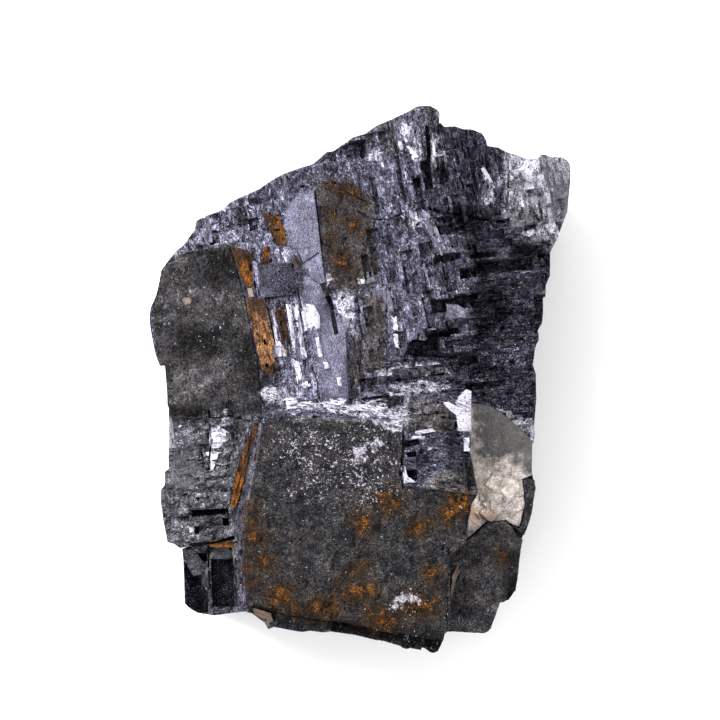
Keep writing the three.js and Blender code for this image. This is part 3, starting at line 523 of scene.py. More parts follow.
def steps_for(at, normal):
    """Boxes of cuts and of standing steps, from random points on the surface."""
    per_mm2 = len(at) / surface_area
    boxes = {True: [], False: []}
    for found, axes, runs, (density, width, stretch, depth, share, pits) in step_groups(at, normal):
        order = rng.permutation(found)
        steps, holes = (int(len(found) * n / per_mm2) for n in (density, PIT_SHARE * pits))
        for n, i in enumerate(order[:steps + holes]):
            own = crystal_at(*at[i, :2]) if axes is None else axes
            wide, long, deep = (width, stretch, depth) if n < steps else PIT
            w = wide[0] + (wide[1] - wide[0]) * rng.random() ** 1.6
            s = rng.uniform(*long)
            d = deep[0] + (deep[1] - deep[0]) * rng.random() ** 1.4
            way = runs if axes is not None else int(rng.integers(0, 3))
            standing = n < steps and rng.random() < share
            box = step_box(at[i], normal[i], own, way, w, s, min(d, w), standing)
            if not standing or backed(box):
                boxes[standing].append(box)
    return boxes


def ground(x, y):
    """Height of the front at a point, or None beside the specimen."""
    hit = tree.ray_cast(Vector((x, y, OVERHEAD)), Vector((0, 0, -1)))[0]
    return hit.z if hit else None


def in_front(points):
    """True at points high on the specimen, and lower ones that nothing covers from above."""
    above = [ground(x, y) for x, y in points[:, :2]]
    above = np.array([z if top is None else top for z, top in zip(points[:, 2], above)])
    height = points[:, 2]
    return (height > FRONT_ONLY) | ((height > FRONT_FLOOR) & (height > above - 0.8))


def backed(box):
    """True where all of a standing box has the specimen close under it."""
    for x, y, z in box:
        below = ground(x, y)
        if below is None or z - below > 0.9:
            return False
    return True


def prism(outline, low, high):
    """Points and faces of an upright prism from an outline, which may run either way round."""
    n = len(outline)
    if np.sum(outline[:, 0] * np.roll(outline[:, 1], -1) - np.roll(outline[:, 0], -1) * outline[:, 1]) < 0:
        outline, high = outline[::-1], high[::-1]
    points = np.concatenate([np.column_stack([outline, np.full(n, low)]),
                             np.column_stack([outline, high])])
    cap = np.array(tessellate_polygon([[Vector((x, y, 0)) for x, y in outline]]))
    a, b, c = (outline[cap[:, i]] for i in range(3))
    turned = (b - a)[:, 0] * (c - a)[:, 1] - (b - a)[:, 1] * (c - a)[:, 0] < 0
    cap[turned] = cap[turned][:, ::-1]
    around = np.arange(n)
    after = (around + 1) % n
    faces = [cap[:, ::-1], cap + n, np.column_stack([around, after, n + after]),
             np.column_stack([around, n + after, n + around])]
    return points, np.concatenate(faces)


FACET_REACH = 2.5  # depth in mm of a facet's prism, and the largest step of the ground under one


def facets(outlines, lowest, highest):
    """Prisms whose tops are flat facets, from lowest to highest mm above the ground beneath them. Where
    both are below 0, the prisms cut facets as deep as that. One that overhangs the side is left out."""
    for outline in outlines:
        outline = spot(outline)
        ring = np.concatenate([outline, (outline + np.roll(outline, -1, 0)) / 2])
        tops = [ground(x, y) for x, y in ring]
        if None in tops:
            continue
        tops = np.array(tops)
        middle = np.median(tops)
        tops = np.where(np.abs(tops - middle) > FACET_REACH, middle, tops)
        level = np.column_stack([ring, np.ones(len(ring))])
        plane = np.linalg.lstsq(level, tops, rcond=None)[0]
        misfit = tops - level @ plane
        high = np.column_stack([outline, np.ones(len(outline))]) @ plane + rng.uniform(lowest, highest)
        if highest > 0:
            high = np.minimum(high + max(0, np.quantile(misfit, 0.8)), tops.max() + highest)
            yield prism(outline, high.min() - FACET_REACH, high)
        else:
            yield prism(outline, high.min(), np.full(len(outline), tops.max() + 4))


def cracks():
    """Short prisms, end to end along each crack, that cut it."""
    for course, width, depth in CRACKS:
        course = spot(course)
        for start, end in zip(course[:-1], course[1:]):
            pieces = max(1, round(np.linalg.norm(end - start) / 1.3))
            for i in range(pieces):
                a, b = start + (end - start) * i / pieces, start + (end - start) * (i + 1) / pieces
                along = (b - a) / np.linalg.norm(b - a)
                middle = (a + b) / 2 + rng.normal(0, 0.07, 2)
                top = ground(*middle)
                if top is None:
                    continue
                w = width * rng.uniform(0.6, 1.3)
                half = np.linalg.norm(b - a) / 2 + 0.12
                side = np.array([-along[1], along[0]])
                corners = np.array([middle + along * half * u + side * w / 2 * v
                                    for u, v in ((-1, -1), (1, -1), (1, 1), (-1, 1))])
                yield prism(corners, top - depth * rng.uniform(0.5, 1.1), np.full(4, top + 2.5))


def clear_batches(solids):
    """Solids sorted into batches in which no two touch."""
    ends = np.array([(points.min(0) - 0.02, points.max(0) + 0.02) for points, _ in solids])
    batches = []
    for i, (low, high) in enumerate(ends):
        for batch in batches:
            if not np.any(np.all((ends[batch, 0] < high) & (ends[batch, 1] > low), axis=1)):
                batch.append(i)
                break
        else:
            batches.append([i])
    return [[solids[i] for i in batch] for batch in batches]


def carve(host, solids, operation):
    """Cuts the solids from the host, or joins them to it."""
    for batch in clear_batches(solids):
        points = np.concatenate([p for p, _ in batch])
        starts = np.cumsum([0] + [len(p) for p, _ in batch])
        faces = np.concatenate([f + start for (_, f), start in zip(batch, starts)])
        tool = add_object("tool", mesh_from("tool", points, faces))
        modifier = host.modifiers.new("steps", "BOOLEAN")
        modifier.operation, modifier.object, modifier.solver = operation, tool, "MANIFOLD"
        done = bpy.data.meshes.new_from_object(host.evaluated_get(bpy.context.evaluated_depsgraph_get()))
        host.modifiers.clear()
        host.data = done
        bpy.data.objects.remove(tool)


DULL_EDGE, OTHER_EDGE, NARROWEST_SPLIT = 1.2, 3.5, 0.4


def longest_edge(at):
    """Longest edge allowed at each point: short on the dull faces, longer elsewhere."""
    longest = np.full(len(at), OTHER_EDGE)
    front = np.flatnonzero(at[:, 2] > FRONT_ONLY)
    longest[front[union_distance(at[front, :2], DULL_FACES + OLIVE + RUST + TAN) > -0.3]] = DULL_EDGE
    return longest


def drop_doubled_faces(b):
    """Deletes faces that lie on each other corner for corner, and the edges that only they use."""
    alike = {}
    for f in b.faces:
        alike.setdefault(frozenset(f.verts), []).append(f)
    doubled = [f for faces in alike.values() if len(faces) > 1 for f in faces]
    bmesh.ops.delete(b, geom=doubled, context="FACES")


def drop_fins(b):
    """Deletes faces that stick out from a shared edge and end in an open one."""
    while True:
        open_ended = [f for f in b.faces if any(len(e.link_faces) == 1 for e in f.edges)]
        fins = [f for f in open_ended if any(len(e.link_faces) > 2 for e in f.edges)]
        if not fins:
            break
        bmesh.ops.delete(b, geom=fins, context="FACES")


def close_mesh(mesh):
    """Clears doubled faces and fins, and closes the pinholes that slivers leave."""
    b = bmesh.new()
    b.from_mesh(mesh)
    drop_doubled_faces(b)
    drop_fins(b)
    rims = [e for e in b.edges if len(e.link_faces) == 1]
    filled = bmesh.ops.holes_fill(b, edges=rims, sides=0)["faces"]
    bmesh.ops.triangulate(b, faces=filled)
    drop_doubled_faces(b)
    b.to_mesh(mesh)
    b.free()


def keep_largest_piece(b):
    seen, largest = set(), []
    for start in b.verts:
        if start in seen:
            continue
        seen.add(start)
        piece = [start]
        for reached in piece:
            for e in reached.link_edges:
                v = e.other_vert(reached)
                if v not in seen:
                    seen.add(v)
                    piece.append(v)
        if len(piece) > len(largest):
            largest = piece
    kept = set(largest)
    bmesh.ops.delete(b, geom=[v for v in b.verts if v not in kept], context="VERTS")


def split_long_edges(b):
    """Splits the long edges of all but the narrowest faces."""
    for _ in range(5):
        edges = list(b.edges)
        ends = np.array([(*e.verts[0].co, *e.verts[1].co) for e in edges])
        length = np.linalg.norm(ends[:, :3] - ends[:, 3:], axis=1)
        split = np.flatnonzero(length > DULL_EDGE)
        split = split[length[split] > longest_edge((ends[split, :3] + ends[split, 3:]) / 2)]
        split = [edges[i] for i in split
                 if max(2 * f.calc_area() for f in edges[i].link_faces) > NARROWEST_SPLIT * length[i]]
        if not split:
            break
        bmesh.ops.subdivide_edges(b, edges=split, cuts=1)
        bmesh.ops.triangulate(b, faces=[f for f in b.faces if len(f.verts) > 3])


def tidy_mesh(mesh):
    """Joins what lies in one plane, clears slivers and crumbs, and evens out the triangles."""
    b = bmesh.new()
    b.from_mesh(mesh)
    bmesh.ops.dissolve_limit(b, angle_limit=math.radians(0.3), verts=b.verts, edges=b.edges)
    bmesh.ops.triangulate(b, faces=b.faces, ngon_method="BEAUTY")
    bmesh.ops.dissolve_degenerate(b, dist=2e-3, edges=b.edges)
    bmesh.ops.delete(b, geom=[e for e in b.edges if not e.link_faces], context="EDGES")
    keep_largest_piece(b)
    split_long_edges(b)
    b.to_mesh(mesh)
    b.free()


def read(items, name, width=1, kind=np.float32):
    """One property of all of a mesh's vertices, faces or corners, as an array with a row for each."""
    values = np.empty(len(items) * width, kind)
    items.foreach_get(name, values)
    return values.reshape(-1, width) if width > 1 else values


def facet_numbers(mesh, normals):
    """One number for each flat facet: faces that share an edge and a plane share a number."""
    count = len(mesh.polygons)
    loops = read(mesh.loops, "edge_index", kind=np.int32)
    owner = np.repeat(np.arange(count), 3)
    order = np.argsort(loops, kind="stable")
    same = loops[order][1:] == loops[order][:-1]
    left, right = owner[order][:-1][same], owner[order][1:][same]
    flat = np.einsum("ij,ij->i", normals[left], normals[right]) > math.cos(math.radians(1.0))
    parent = list(range(count))

    def root(i):
        while parent[i] != i:
            parent[i] = parent[parent[i]]
            i = parent[i]
        return i

    for i, j in zip(left[flat].tolist(), right[flat].tolist()):
        i, j = root(i), root(j)
        if i != j:
            parent[max(i, j)] = min(i, j)
    return np.array([root(i) for i in range(count)])


MARK_REACH = 3.0
MARKS = {"dull": DULL_FACES, "olive": OLIVE, "stain": STAIN, "glint": GLINTS, "lavender": LAVENDER,
         "speckled": SPECKLED, "dusky": DARK_AND_SHADED, "hazy": LIGHT_AND_LIT, "umber": UMBER, "steel": STEEL}
FACETS = {"rust": RUST, "tan": TAN, "flash": FLASH, "black": BLACK, "pale": PALE, "beige": BEIGE}


def union_distance(at, outlines):
    """Distance in mm into the nearest of several outlines, negative outside them."""
    return np.max([signed_distance(at, spot(outline)) for outline in outlines], 0)


def mark_distance(at, outlines):
    """The same, as far as the materials need it."""
    return np.clip(union_distance(at, outlines), -MARK_REACH, MARK_REACH)


def store(mesh, name, kind, domain, values):
    attribute = mesh.attributes.new(name, kind, domain)
    attribute.data.foreach_set("vector" if kind == "FLOAT_VECTOR" else "value",
                               np.ascontiguousarray(values, np.float32).ravel())


def zone_tones(at):
    """Lightness of the cleavage at each point of the front, with the light and shade painted into each zone,
    blended where two zones meet. Where they overlap, the earlier zone counts."""
    bare, total = np.full(len(at), 1.0), np.full(len(at), 1e-3 * BARE_TONE)
    for outline, *_, tone in ZONES.values():
        inside = 1 / (1 + np.exp(-np.clip(signed_distance(at, spot(outline)) / 0.12, -30, 30)))
        total = total + bare * inside * tone
        bare = bare * (1 - inside)
    return total / (1.001 - bare)


def roughened(points, normals, dull):
    """Points moved in and out by noise, further on the dull faces, and kept inside the solid's box."""
    lift = np.empty(len(points))
    for i, place in enumerate(points):
        p = Vector(place)
        lift[i] = 0.08 * noise.noise(p * 1.3)
        if dull[i]:
            lift[i] += dull[i] * (0.22 * noise.noise(p * 0.35) + 0.10 * noise.noise(p * 1.1))
    low, high = (np.array(v) / MM for v in cad_box)
    return np.clip(points + normals * lift[:, None], low, high)


def crystal_grain(points, corners, middle):
    """Places along the edges of the crystal that each face belongs to, for each corner of the faces."""
    grain = np.empty((len(corners), 3))
    for axes, swap, chosen in (
            (UPPER, False, middle[:, 1] > 3),
            (LOWER, True, (middle[:, 1] <= 3) & (middle[:, 0] > -16)),
            (LEFT, True, (middle[:, 1] <= 3) & (middle[:, 0] <= -16)),
            (LEFT, True, union_distance(middle[:, :2], [ZONES["hollow_top"][0], ZONES["hollow"][0]]) > 0),
            (BEVEL, False, signed_distance(middle[:, :2], spot(ZONES["bevel"][0])) > 0)):
        own = np.repeat(chosen, 3)
        local = points[corners[own]] @ axes
        grain[own] = local[:, [1, 0, 2]] if swap else local
    return grain


def dress_galena(mesh):
    """Roughens the surface, and stores what the material reads, in mm."""
    points, _ = mesh_arrays(mesh)
    front = in_front(points)
    marks = {name: np.full(len(points), -MARK_REACH) for name in MARKS}
    for name, outlines in MARKS.items():
        marks[name][front] = mark_distance(points[front, :2], outlines)
        store(mesh, name, "FLOAT", "POINT", marks[name])
    tones = np.full(len(points), BARE_TONE)
    tones[front] = zone_tones(points[front, :2])
    store(mesh, "tone", "FLOAT", "POINT", tones)
    store(mesh, "front", "FLOAT", "POINT", front)

    face_normals = read(mesh.polygons, "normal", 3)
    facet = np.random.default_rng(5).random((len(mesh.polygons), 3))
    store(mesh, "facet", "FLOAT_VECTOR", "FACE", facet[facet_numbers(mesh, face_normals)])

    normals = read(mesh.vertex_normals, "vector", 3)
    points = roughened(points, normals, np.clip(marks["dull"] / 0.6, 0, 1) * (normals[:, 2] > 0.6))
    mesh.vertices.foreach_set("co", points.astype(np.float32).ravel())

    corners = read(mesh.loops, "vertex_index", kind=np.int32)
    middle = points[corners].reshape(-1, 3, 3).mean(1)
    upward = np.flatnonzero(front[corners].reshape(-1, 3).all(1) & (face_normals[:, 2] > 0.35))
    for name, outlines in FACETS.items():
        inside = np.zeros(len(mesh.polygons))
        inside[upward] = union_distance(middle[upward, :2], outlines) > 0
        store(mesh, name, "FLOAT", "FACE", inside)
    store(mesh, "grain", "FLOAT_VECTOR", "CORNER", crystal_grain(points, corners, middle))
    finish_mesh(mesh, 24)


def finish_mesh(mesh, sharp_from):
    """Turns mm into metres, and keeps edges sharp from an angle in degrees."""
    close_mesh(mesh)
    mesh.transform(((MM, 0, 0, 0), (0, MM, 0, 0), (0, 0, MM, 0), (0, 0, 0, 1)))
    mesh.polygons.foreach_set("use_smooth", np.ones(len(mesh.polygons), bool))
    mesh.set_sharp_from_angle(angle=math.radians(sharp_from))
    mesh.update()


# ---- Materials --------------------------------------------------------------------------------------

class Paint:
    """Adds nodes to one node tree."""

    def __init__(self, tree, coordinates="Object"):
        self.tree = tree
        self.place = self.add("ShaderNodeTexCoord", out=coordinates)

    def feed(self, socket, value):
        """Links another node's output to the socket, or sets a plain value on it."""
        if isinstance(value, bpy.types.NodeSocket):
            self.tree.links.new(value, socket)
        else:
            socket.default_value = value

    def add(self, kind, out=0, inputs=None, **settings):
        """Adds a node, feeds its inputs, and returns one of its outputs."""
        node = self.tree.nodes.new(kind)
        for key, value in settings.items():
            setattr(node, key, value)
        for key, value in (inputs or {}).items():
            self.feed(node.inputs[key], value)
        return node.outputs[out]

    def mark(self, name, out="Fac"):
        """What the mesh stores under a name."""
        return self.add("ShaderNodeAttribute", out, attribute_name=name)

    def noise(self, scale, detail=3.0, rough=0.55, where=None, out="Fac"):
        return self.add("ShaderNodeTexNoise", out,
                        {"Vector": where or self.place, "Scale": scale, "Detail": detail, "Roughness": rough})

    def cells(self, where, scale, **settings):
        """A pattern of cells: distance from each cell's middle, and three random numbers for each cell."""
        distance = self.add("ShaderNodeTexVoronoi", 0, {"Vector": where, "Scale": scale}, **settings)
        colour = distance.node.outputs["Color"]
        return distance, colour, self.add("ShaderNodeSeparateColor", 0, {0: colour}).node.outputs

    def lines(self, value, width):
        """1 on the thin lines where a noise crosses its middle, and 0 away from them."""
        return self.ramp(self.math("ABSOLUTE", self.math("SUBTRACT", value, 0.5)), 0.0, width, 1.0, 0.0)

    def product(self, *values):
        result = values[0]
        for value in values[1:]:
            result = self.math("MULTIPLY", result, value)
        return result

    def stretched(self, where, scale):
        return self.add("ShaderNodeMapping", 0, {"Vector": where, "Scale": scale})

    def math(self, operation, a, b=0.0, clamp=False):
        return self.add("ShaderNodeMath", 0, {0: a, 1: b}, operation=operation, use_clamp=clamp)

    def vector(self, operation, a, b=(0.0, 0.0, 0.0)):
        return self.add("ShaderNodeVectorMath", 0, {0: a, 1: b}, operation=operation)

    def ramp(self, value, low, high, to_low=0.0, to_high=1.0):
        """A value between low and high, stretched to lie between two others."""
        return self.add("ShaderNodeMapRange", 0, {0: value, 1: low, 2: high, 3: to_low, 4: to_high})

    def edge(self, distance, wobble, amount, soft):
        """1 inside a mark and 0 outside it, with an edge that a noise pushes about."""
        pushed = self.math("ADD", distance, self.ramp(wobble, 0.3, 0.7, -amount, amount))
        return self.ramp(pushed, -soft, soft)

    def blend(self, factor, a, b):
        return self.add("ShaderNodeMix", 2, {0: factor, 6: a, 7: b}, data_type="RGBA")

    def level(self, factor, a, b):
        return self.add("ShaderNodeMix", 0, {0: factor, 2: a, 3: b}, data_type="FLOAT")

    def multiply(self, colour, value):
        return self.add("ShaderNodeVectorMath", 0, {0: colour, 3: value}, operation="SCALE")

    def bump(self, height, distance, normal=None, strength=1.0):
        inputs = {"Height": height, "Distance": distance, "Strength": strength}
        if normal is not None:
            inputs["Normal"] = normal
        return self.add("ShaderNodeBump", 0, inputs)


def new_material(name):
    material = bpy.data.materials.new(name)
    material.use_nodes = True
    return material, Paint(material.node_tree), material.node_tree.nodes["Principled BSDF"].inputs


def rgb(r, g, b):
    return (r, g, b, 1.0)


class Coat:
    """Colour, metal and roughness of a surface, to which layers are added."""

    def __init__(self, p, colour, metal, rough):
        self.p, self.colour, self.metal, self.rough = p, colour, metal, rough

    def cover(self, share, colour, metal, rough):
        self.colour = self.p.blend(share, self.colour, colour)
        self.metal = self.p.level(share, self.metal, metal)
        self.rough = self.p.level(share, self.rough, rough)


def textures(p):
    """Noises that the layers share. Those named for grain run along the crystal's edges."""
    p.wide = p.noise(180.0, 5.0, 0.6)
    p.patch = p.noise(420.0, 4.0, 0.6)
    p.mid = p.noise(650.0, 5.0, 0.65)
    p.fine = p.noise(2200.0, 4.0, 0.7)
    p.dust = p.noise(6000.0, 1.0)
    p.dusty = p.ramp(p.dust, 0.34, 0.68, 0.1, 2.3)
    # Glitter is painted sparkle: specks up to 3.6 times lighter.
    p.glitter = p.ramp(p.dust, 0.52, 0.70, 0.7, 3.6)
    sway = p.vector("SUBTRACT", p.noise(700.0, 3.0, 0.6, out="Color"), (0.5, 0.5, 0.5))
    sway = p.multiply(sway, p.ramp(p.mark("tone"), 0.03, 0.07, 4.0, 1.5))
    p.grain = p.vector("ADD", p.mark("grain", "Vector"), sway)
    p.streak = p.noise(1.0, 4.0, 0.6, p.stretched(p.grain, (3.0, 0.5, 3.0)))
    p.hair = p.noise(1.0, 3.0, 0.6, p.stretched(p.grain, (9.0, 1.1, 9.0)))
    p.wrinkle = p.noise(1.0, 4.0, 0.65, p.stretched(p.grain, (1.0, 0.8, 1.0)))
    p.facet = p.add("ShaderNodeSeparateXYZ", 0, {0: p.mark("facet", "Vector")}).node.outputs
    _, p.flakes, p.flake = p.cells(p.stretched(p.grain, (1.9, 0.9, 1.9)), 1.0, distance="CHEBYCHEV")
    _, p.chips, p.chip = p.cells(p.stretched(p.grain, (5.0, 2.8, 5.0)), 1.0, distance="CHEBYCHEV")
    # Painted shade darkens some patches to 0.35 of their lightness.
    p.dusky = p.edge(p.mark("dusky"), p.mid, 1.0, 0.8)
    # Painted light makes some patches 1.6 times lighter.
    p.hazy = p.edge(p.mark("hazy"), p.mid, 1.0, 0.8)
    p.tone = p.product(p.mark("tone"), p.level(p.dusky, 1.0, 0.35), p.level(p.hazy, 1.0, 1.6))


def cleavage(p):
    """Lead grey with a cool tint. Every facet, flake and chip is a little lighter or darker, dark lines and
    blotches break it up, and the darkest zones have light lines and sparkle instead, as painted highlights."""
    p.lavender = p.edge(p.mark("lavender"), p.mid, 0.3, 0.25)
    deep = p.ramp(p.mark("tone"), 0.03, 0.07, 1.0, 0.0)
    crystals = p.product(p.ramp(p.facet[0], 0, 1, 0.65, 1.35), p.ramp(p.flake[0], 0, 1, 0.6, 1.4),
                         p.ramp(p.chip[0], 0, 1, 0.7, 1.3), p.ramp(p.streak, 0.35, 0.65, 0.6, 1.4),
                         p.ramp(p.hair, 0.35, 0.65, 0.65, 1.35), p.ramp(p.patch, 0.40, 0.50, 0.55, 1.2))
    # In the darkest zones the lines and specks are light: painted highlights within their painted shade.
    light = p.lines(p.wrinkle, 0.03)
    broken = p.level(deep, p.level(light, 1.15, 0.25), p.level(light, 0.7, 4.0))
    smooth = p.product(p.ramp(p.mid, 0.3, 0.7, 0.8, 1.2), p.ramp(p.streak, 0.3, 0.7, 0.85, 1.15),
                       p.ramp(p.hair, 0.35, 0.65, 0.8, 1.2))
    uneven = p.level(p.math("MULTIPLY", p.lavender, 0.9), p.math("MULTIPLY", crystals, broken), smooth)
    grainy = p.level(deep, p.ramp(p.dust, 0.3, 0.7, 0.1, 1.9), p.math("MULTIPLY", p.dusty, p.glitter))
    gritty = p.level(p.lavender, p.ramp(p.fine, 0.34, 0.66, 0.4, 1.6), p.ramp(p.fine, 0.3, 0.7, 0.7, 1.3))
    uneven = p.product(uneven, gritty, grainy)
    hue = p.blend(p.wide, rgb(0.46, 0.44, 0.58), rgb(0.43, 0.42, 0.64))
    hue = p.blend(p.edge(p.mark("steel"), p.mid, 0.3, 0.3), hue, rgb(0.46, 0.45, 0.52))
    return Coat(p, p.multiply(hue, p.math("MULTIPLY", p.tone, uneven)), p.level(p.lavender, 0.55, 0.3),
                p.level(p.lavender, p.ramp(p.chip[1], 0, 1, 0.25, 0.5), 0.45))


def crust(p, coat):
    """Old faces: dull, dark and earthy, browner round the iron stains."""
    sides = p.product(p.math("SUBTRACT", 1.0, p.mark("front")), p.ramp(p.noise(45.0, 4.0, 0.6), 0.5, 0.56))
    p.crust = p.math("MAXIMUM", p.edge(p.mark("dull"), p.mid, 0.25, 0.2), sides)
    brown = p.product(p.ramp(p.patch, 0.44, 0.56), p.ramp(p.mark("stain"), -2.5, 0.5, 0.2, 1.0))
    soil = p.blend(brown, rgb(0.405, 0.39, 0.44), rgb(0.62, 0.50, 0.34))
    ridges = p.level(p.lines(p.noise(300.0, 5.0, 0.6), 0.03), 1.0, 1.9)
    grit = p.product(p.tone, ridges, p.ramp(p.patch, 0.35, 0.65, 0.6, 1.45),
                     p.ramp(p.mid, 0.35, 0.65, 0.65, 1.4), p.ramp(p.fine, 0.35, 0.65, 0.4, 1.6), p.dusty)
    coat.cover(p.crust, p.multiply(soil, grit), 0.0, 0.75)


def olive_film(p, coat):
    """A thin film of olive grey dirt, broken by the steps beneath it."""
    p.olive = p.product(p.edge(p.mark("olive"), p.mid, 0.6, 0.5), p.ramp(p.patch, 0.35, 0.55, 0.45, 0.95))
    film = p.blend(p.ramp(p.mid, 0.35, 0.65), rgb(0.019, 0.017, 0.0165), rgb(0.046, 0.039, 0.034))
    coat.cover(p.olive, p.multiply(film, p.product(p.ramp(p.fine, 0.35, 0.65, 0.4, 1.6), p.dusty,
                                                   p.ramp(p.streak, 0.3, 0.7, 0.6, 1.5))), 0.1, 0.6)


def iron_stains(p, coat):
    """Orange and tan where the rust is thick, with dark brown round it."""
    reach = p.math("ADD", p.mark("stain"), p.ramp(p.mid, 0.3, 0.7, -1.1, 1.1))
    halo = p.math("MULTIPLY", p.ramp(reach, -1.7, 0.1), p.ramp(p.fine, 0.35, 0.55, 0.55, 0.97))
    thick = p.product(p.ramp(reach, 0.1, 1.2), p.ramp(p.fine, 0.36, 0.54),
                      p.ramp(p.dust, 0.35, 0.55, 0.5, 1.0))
    rust = p.math("MAXIMUM", p.mark("rust"), p.mark("tan"))
    umber = p.ramp(p.math("ADD", p.mark("umber"), p.ramp(p.mid, 0.3, 0.7, -0.8, 0.8)), -0.4, 0.3)
    streaks = p.math("ADD", p.streak, p.ramp(p.patch, 0.3, 0.7, -0.16, 0.20))
    crusted = p.product(rust, p.ramp(streaks, 0.40, 0.60), p.ramp(p.fine, 0.30, 0.48),
                        p.ramp(umber, 0.0, 1.0, 1.0, 0.12))
    thick = p.math("MAXIMUM", thick, crusted)
    orange = p.blend(p.facet[1], rgb(0.14, 0.042, 0.003), rgb(0.12, 0.050, 0.006))
    faint = p.blend(p.ramp(p.mid, 0.42, 0.60), rgb(0.030, 0.010, 0.003), rgb(0.085, 0.031, 0.004))
    orange = p.blend(rust, faint, orange)
    orange = p.blend(p.mark("tan"), orange, rgb(0.19, 0.088, 0.038))
    iron = p.blend(thick, rgb(0.017, 0.010, 0.006), orange)
    iron = p.multiply(iron, p.product(p.ramp(p.hair, 0.35, 0.65, 0.6, 1.4),
                                      p.ramp(p.mid, 0.35, 0.65, 0.6, 1.4), p.dusty))
    p.iron = p.math("MAXIMUM", p.math("MULTIPLY", rust, 0.96), halo)
    coat.cover(p.iron, iron, 0.0, 0.6)


def calcite_spots(p, coat):
    """Small flat bits of calcite in the galena."""
    beige = p.math("MULTIPLY", p.mark("beige"), p.ramp(p.fine, 0.35, 0.5, 0.4, 1.0))
    coat.cover(beige, p.multiply((0.17, 0.125, 0.10), p.ramp(p.mid, 0.3, 0.7, 0.4, 1.6)), 0.0, 0.6)


def painted_reflections(p, coat):
    """Painted reflections: facets painted black where they mirror something dark and pale where they catch
    some light, and painted highlights on the white facets, glints, sparks and flecks.
    """
    # Painted reflection and shade: the black facets, with a few lighter specks.
    black = p.mark("black")
    gloom = p.product(p.ramp(p.hair, 0.3, 0.7, 0.2, 3.0), p.ramp(p.dust, 0.60, 0.72, 1.0, 40.0))
    coat.cover(black, p.multiply((0.0012, 0.0012, 0.0018), gloom), 0.0, 0.4)
    # Painted light: the pale facets.
    pale = p.math("MULTIPLY", p.mark("pale"), p.ramp(p.streak, 0.35, 0.6, 0.3, 0.9))
    coat.cover(pale, p.multiply((0.11, 0.107, 0.14), p.ramp(p.hair, 0.3, 0.7, 0.5, 1.5)), 0.3, 0.4)
    bare = p.math("SUBTRACT", 1.0, p.math("MAXIMUM", p.math("MAXIMUM", p.crust, p.olive), p.iron))
    rough = p.math("SUBTRACT", 1.0, p.math("MULTIPLY", p.lavender, 0.9))
    flecks = p.ramp(p.math("ADD", p.hair, p.math("MULTIPLY", p.chip[2], 0.2)), 0.75, 0.78)
    flecks = p.product(flecks, p.ramp(p.noise(330.0, 3.0, 0.6), 0.42, 0.54), bare, rough,
                       p.ramp(p.tone, 0.02, 0.12, 0.3, 1.0), p.math("SUBTRACT", 1.0, black))
    crowd = p.math("ADD", p.ramp(p.mark("speckled"), -3.0, 3.0, -0.13, 0.02),
                   p.ramp(p.noise(450.0, 4.0, 0.7), 0.35, 0.65, -0.10, 0.06))
    arcs = p.product(p.lines(p.noise(1500.0, 2.0), 0.06),
                     p.ramp(p.math("ADD", p.noise(1900.0, 2.0), crowd), 0.56, 0.60))
    specks = p.ramp(p.math("ADD", p.dust, crowd), 0.70, 0.73)
    sparks = p.product(p.math("MAXIMUM", arcs, specks), p.edge(p.mark("dull"), p.mid, 0.25, 0.2),
                       p.ramp(p.hair, 0.35, 0.55, 0.4, 1.0))
    flash = p.product(p.mark("flash"), p.ramp(p.hair, 0.37, 0.45), p.ramp(p.fine, 0.35, 0.41))
    glint = p.product(p.edge(p.mark("glint"), p.mid, 0.6, 0.2), p.ramp(p.hair, 0.46, 0.52),
                      p.ramp(p.wrinkle, 0.42, 0.47))
    # Painted highlights: the flash facets, glints, sparks and flecks, all near white.
    white = p.math("MAXIMUM", p.math("MAXIMUM", flash, glint), p.math("MAXIMUM", sparks, flecks))
    coat.cover(white, rgb(0.50, 0.48, 0.56), 0.2, 0.4)


def galena_relief(p):
    """Small tilts of the flakes make them catch the light one by one."""
    half = (0.5, 0.5, 0.5)
    tilt = p.vector("ADD", p.vector("SUBTRACT", p.flakes, half), p.vector("SUBTRACT", p.chips, half))
    shine = p.math("SUBTRACT", 1.0, p.math("MAXIMUM", p.crust, p.olive))
    tilt = p.multiply(tilt, p.math("MULTIPLY", shine, p.level(p.lavender, 0.18, 0.03)))
    grooves = p.bump(p.streak, 0.00012, p.bump(p.hair, 0.00004, strength=0.6), 0.6)
    crusty = p.bump(p.fine, 0.00010, p.bump(p.mid, 0.0003, strength=0.9), 0.9)
    normal = p.add("ShaderNodeMix", 1, {0: p.crust, 4: grooves, 5: crusty}, data_type="VECTOR")
    return p.vector("NORMALIZE", p.vector("ADD", normal, tilt))


def galena_material():
    material, p, surface = new_material("galena_cleavage")
    textures(p)
    coat = cleavage(p)
    for layer in (crust, olive_film, iron_stains, calcite_spots, painted_reflections):
        layer(p, coat)
    for socket, value in (("Base Color", coat.colour), ("Metallic", coat.metal), ("Roughness", coat.rough),
                          ("Normal", galena_relief(p))):
        p.feed(surface[socket], value)
    surface["Specular IOR Level"].default_value = 0.02
    return material


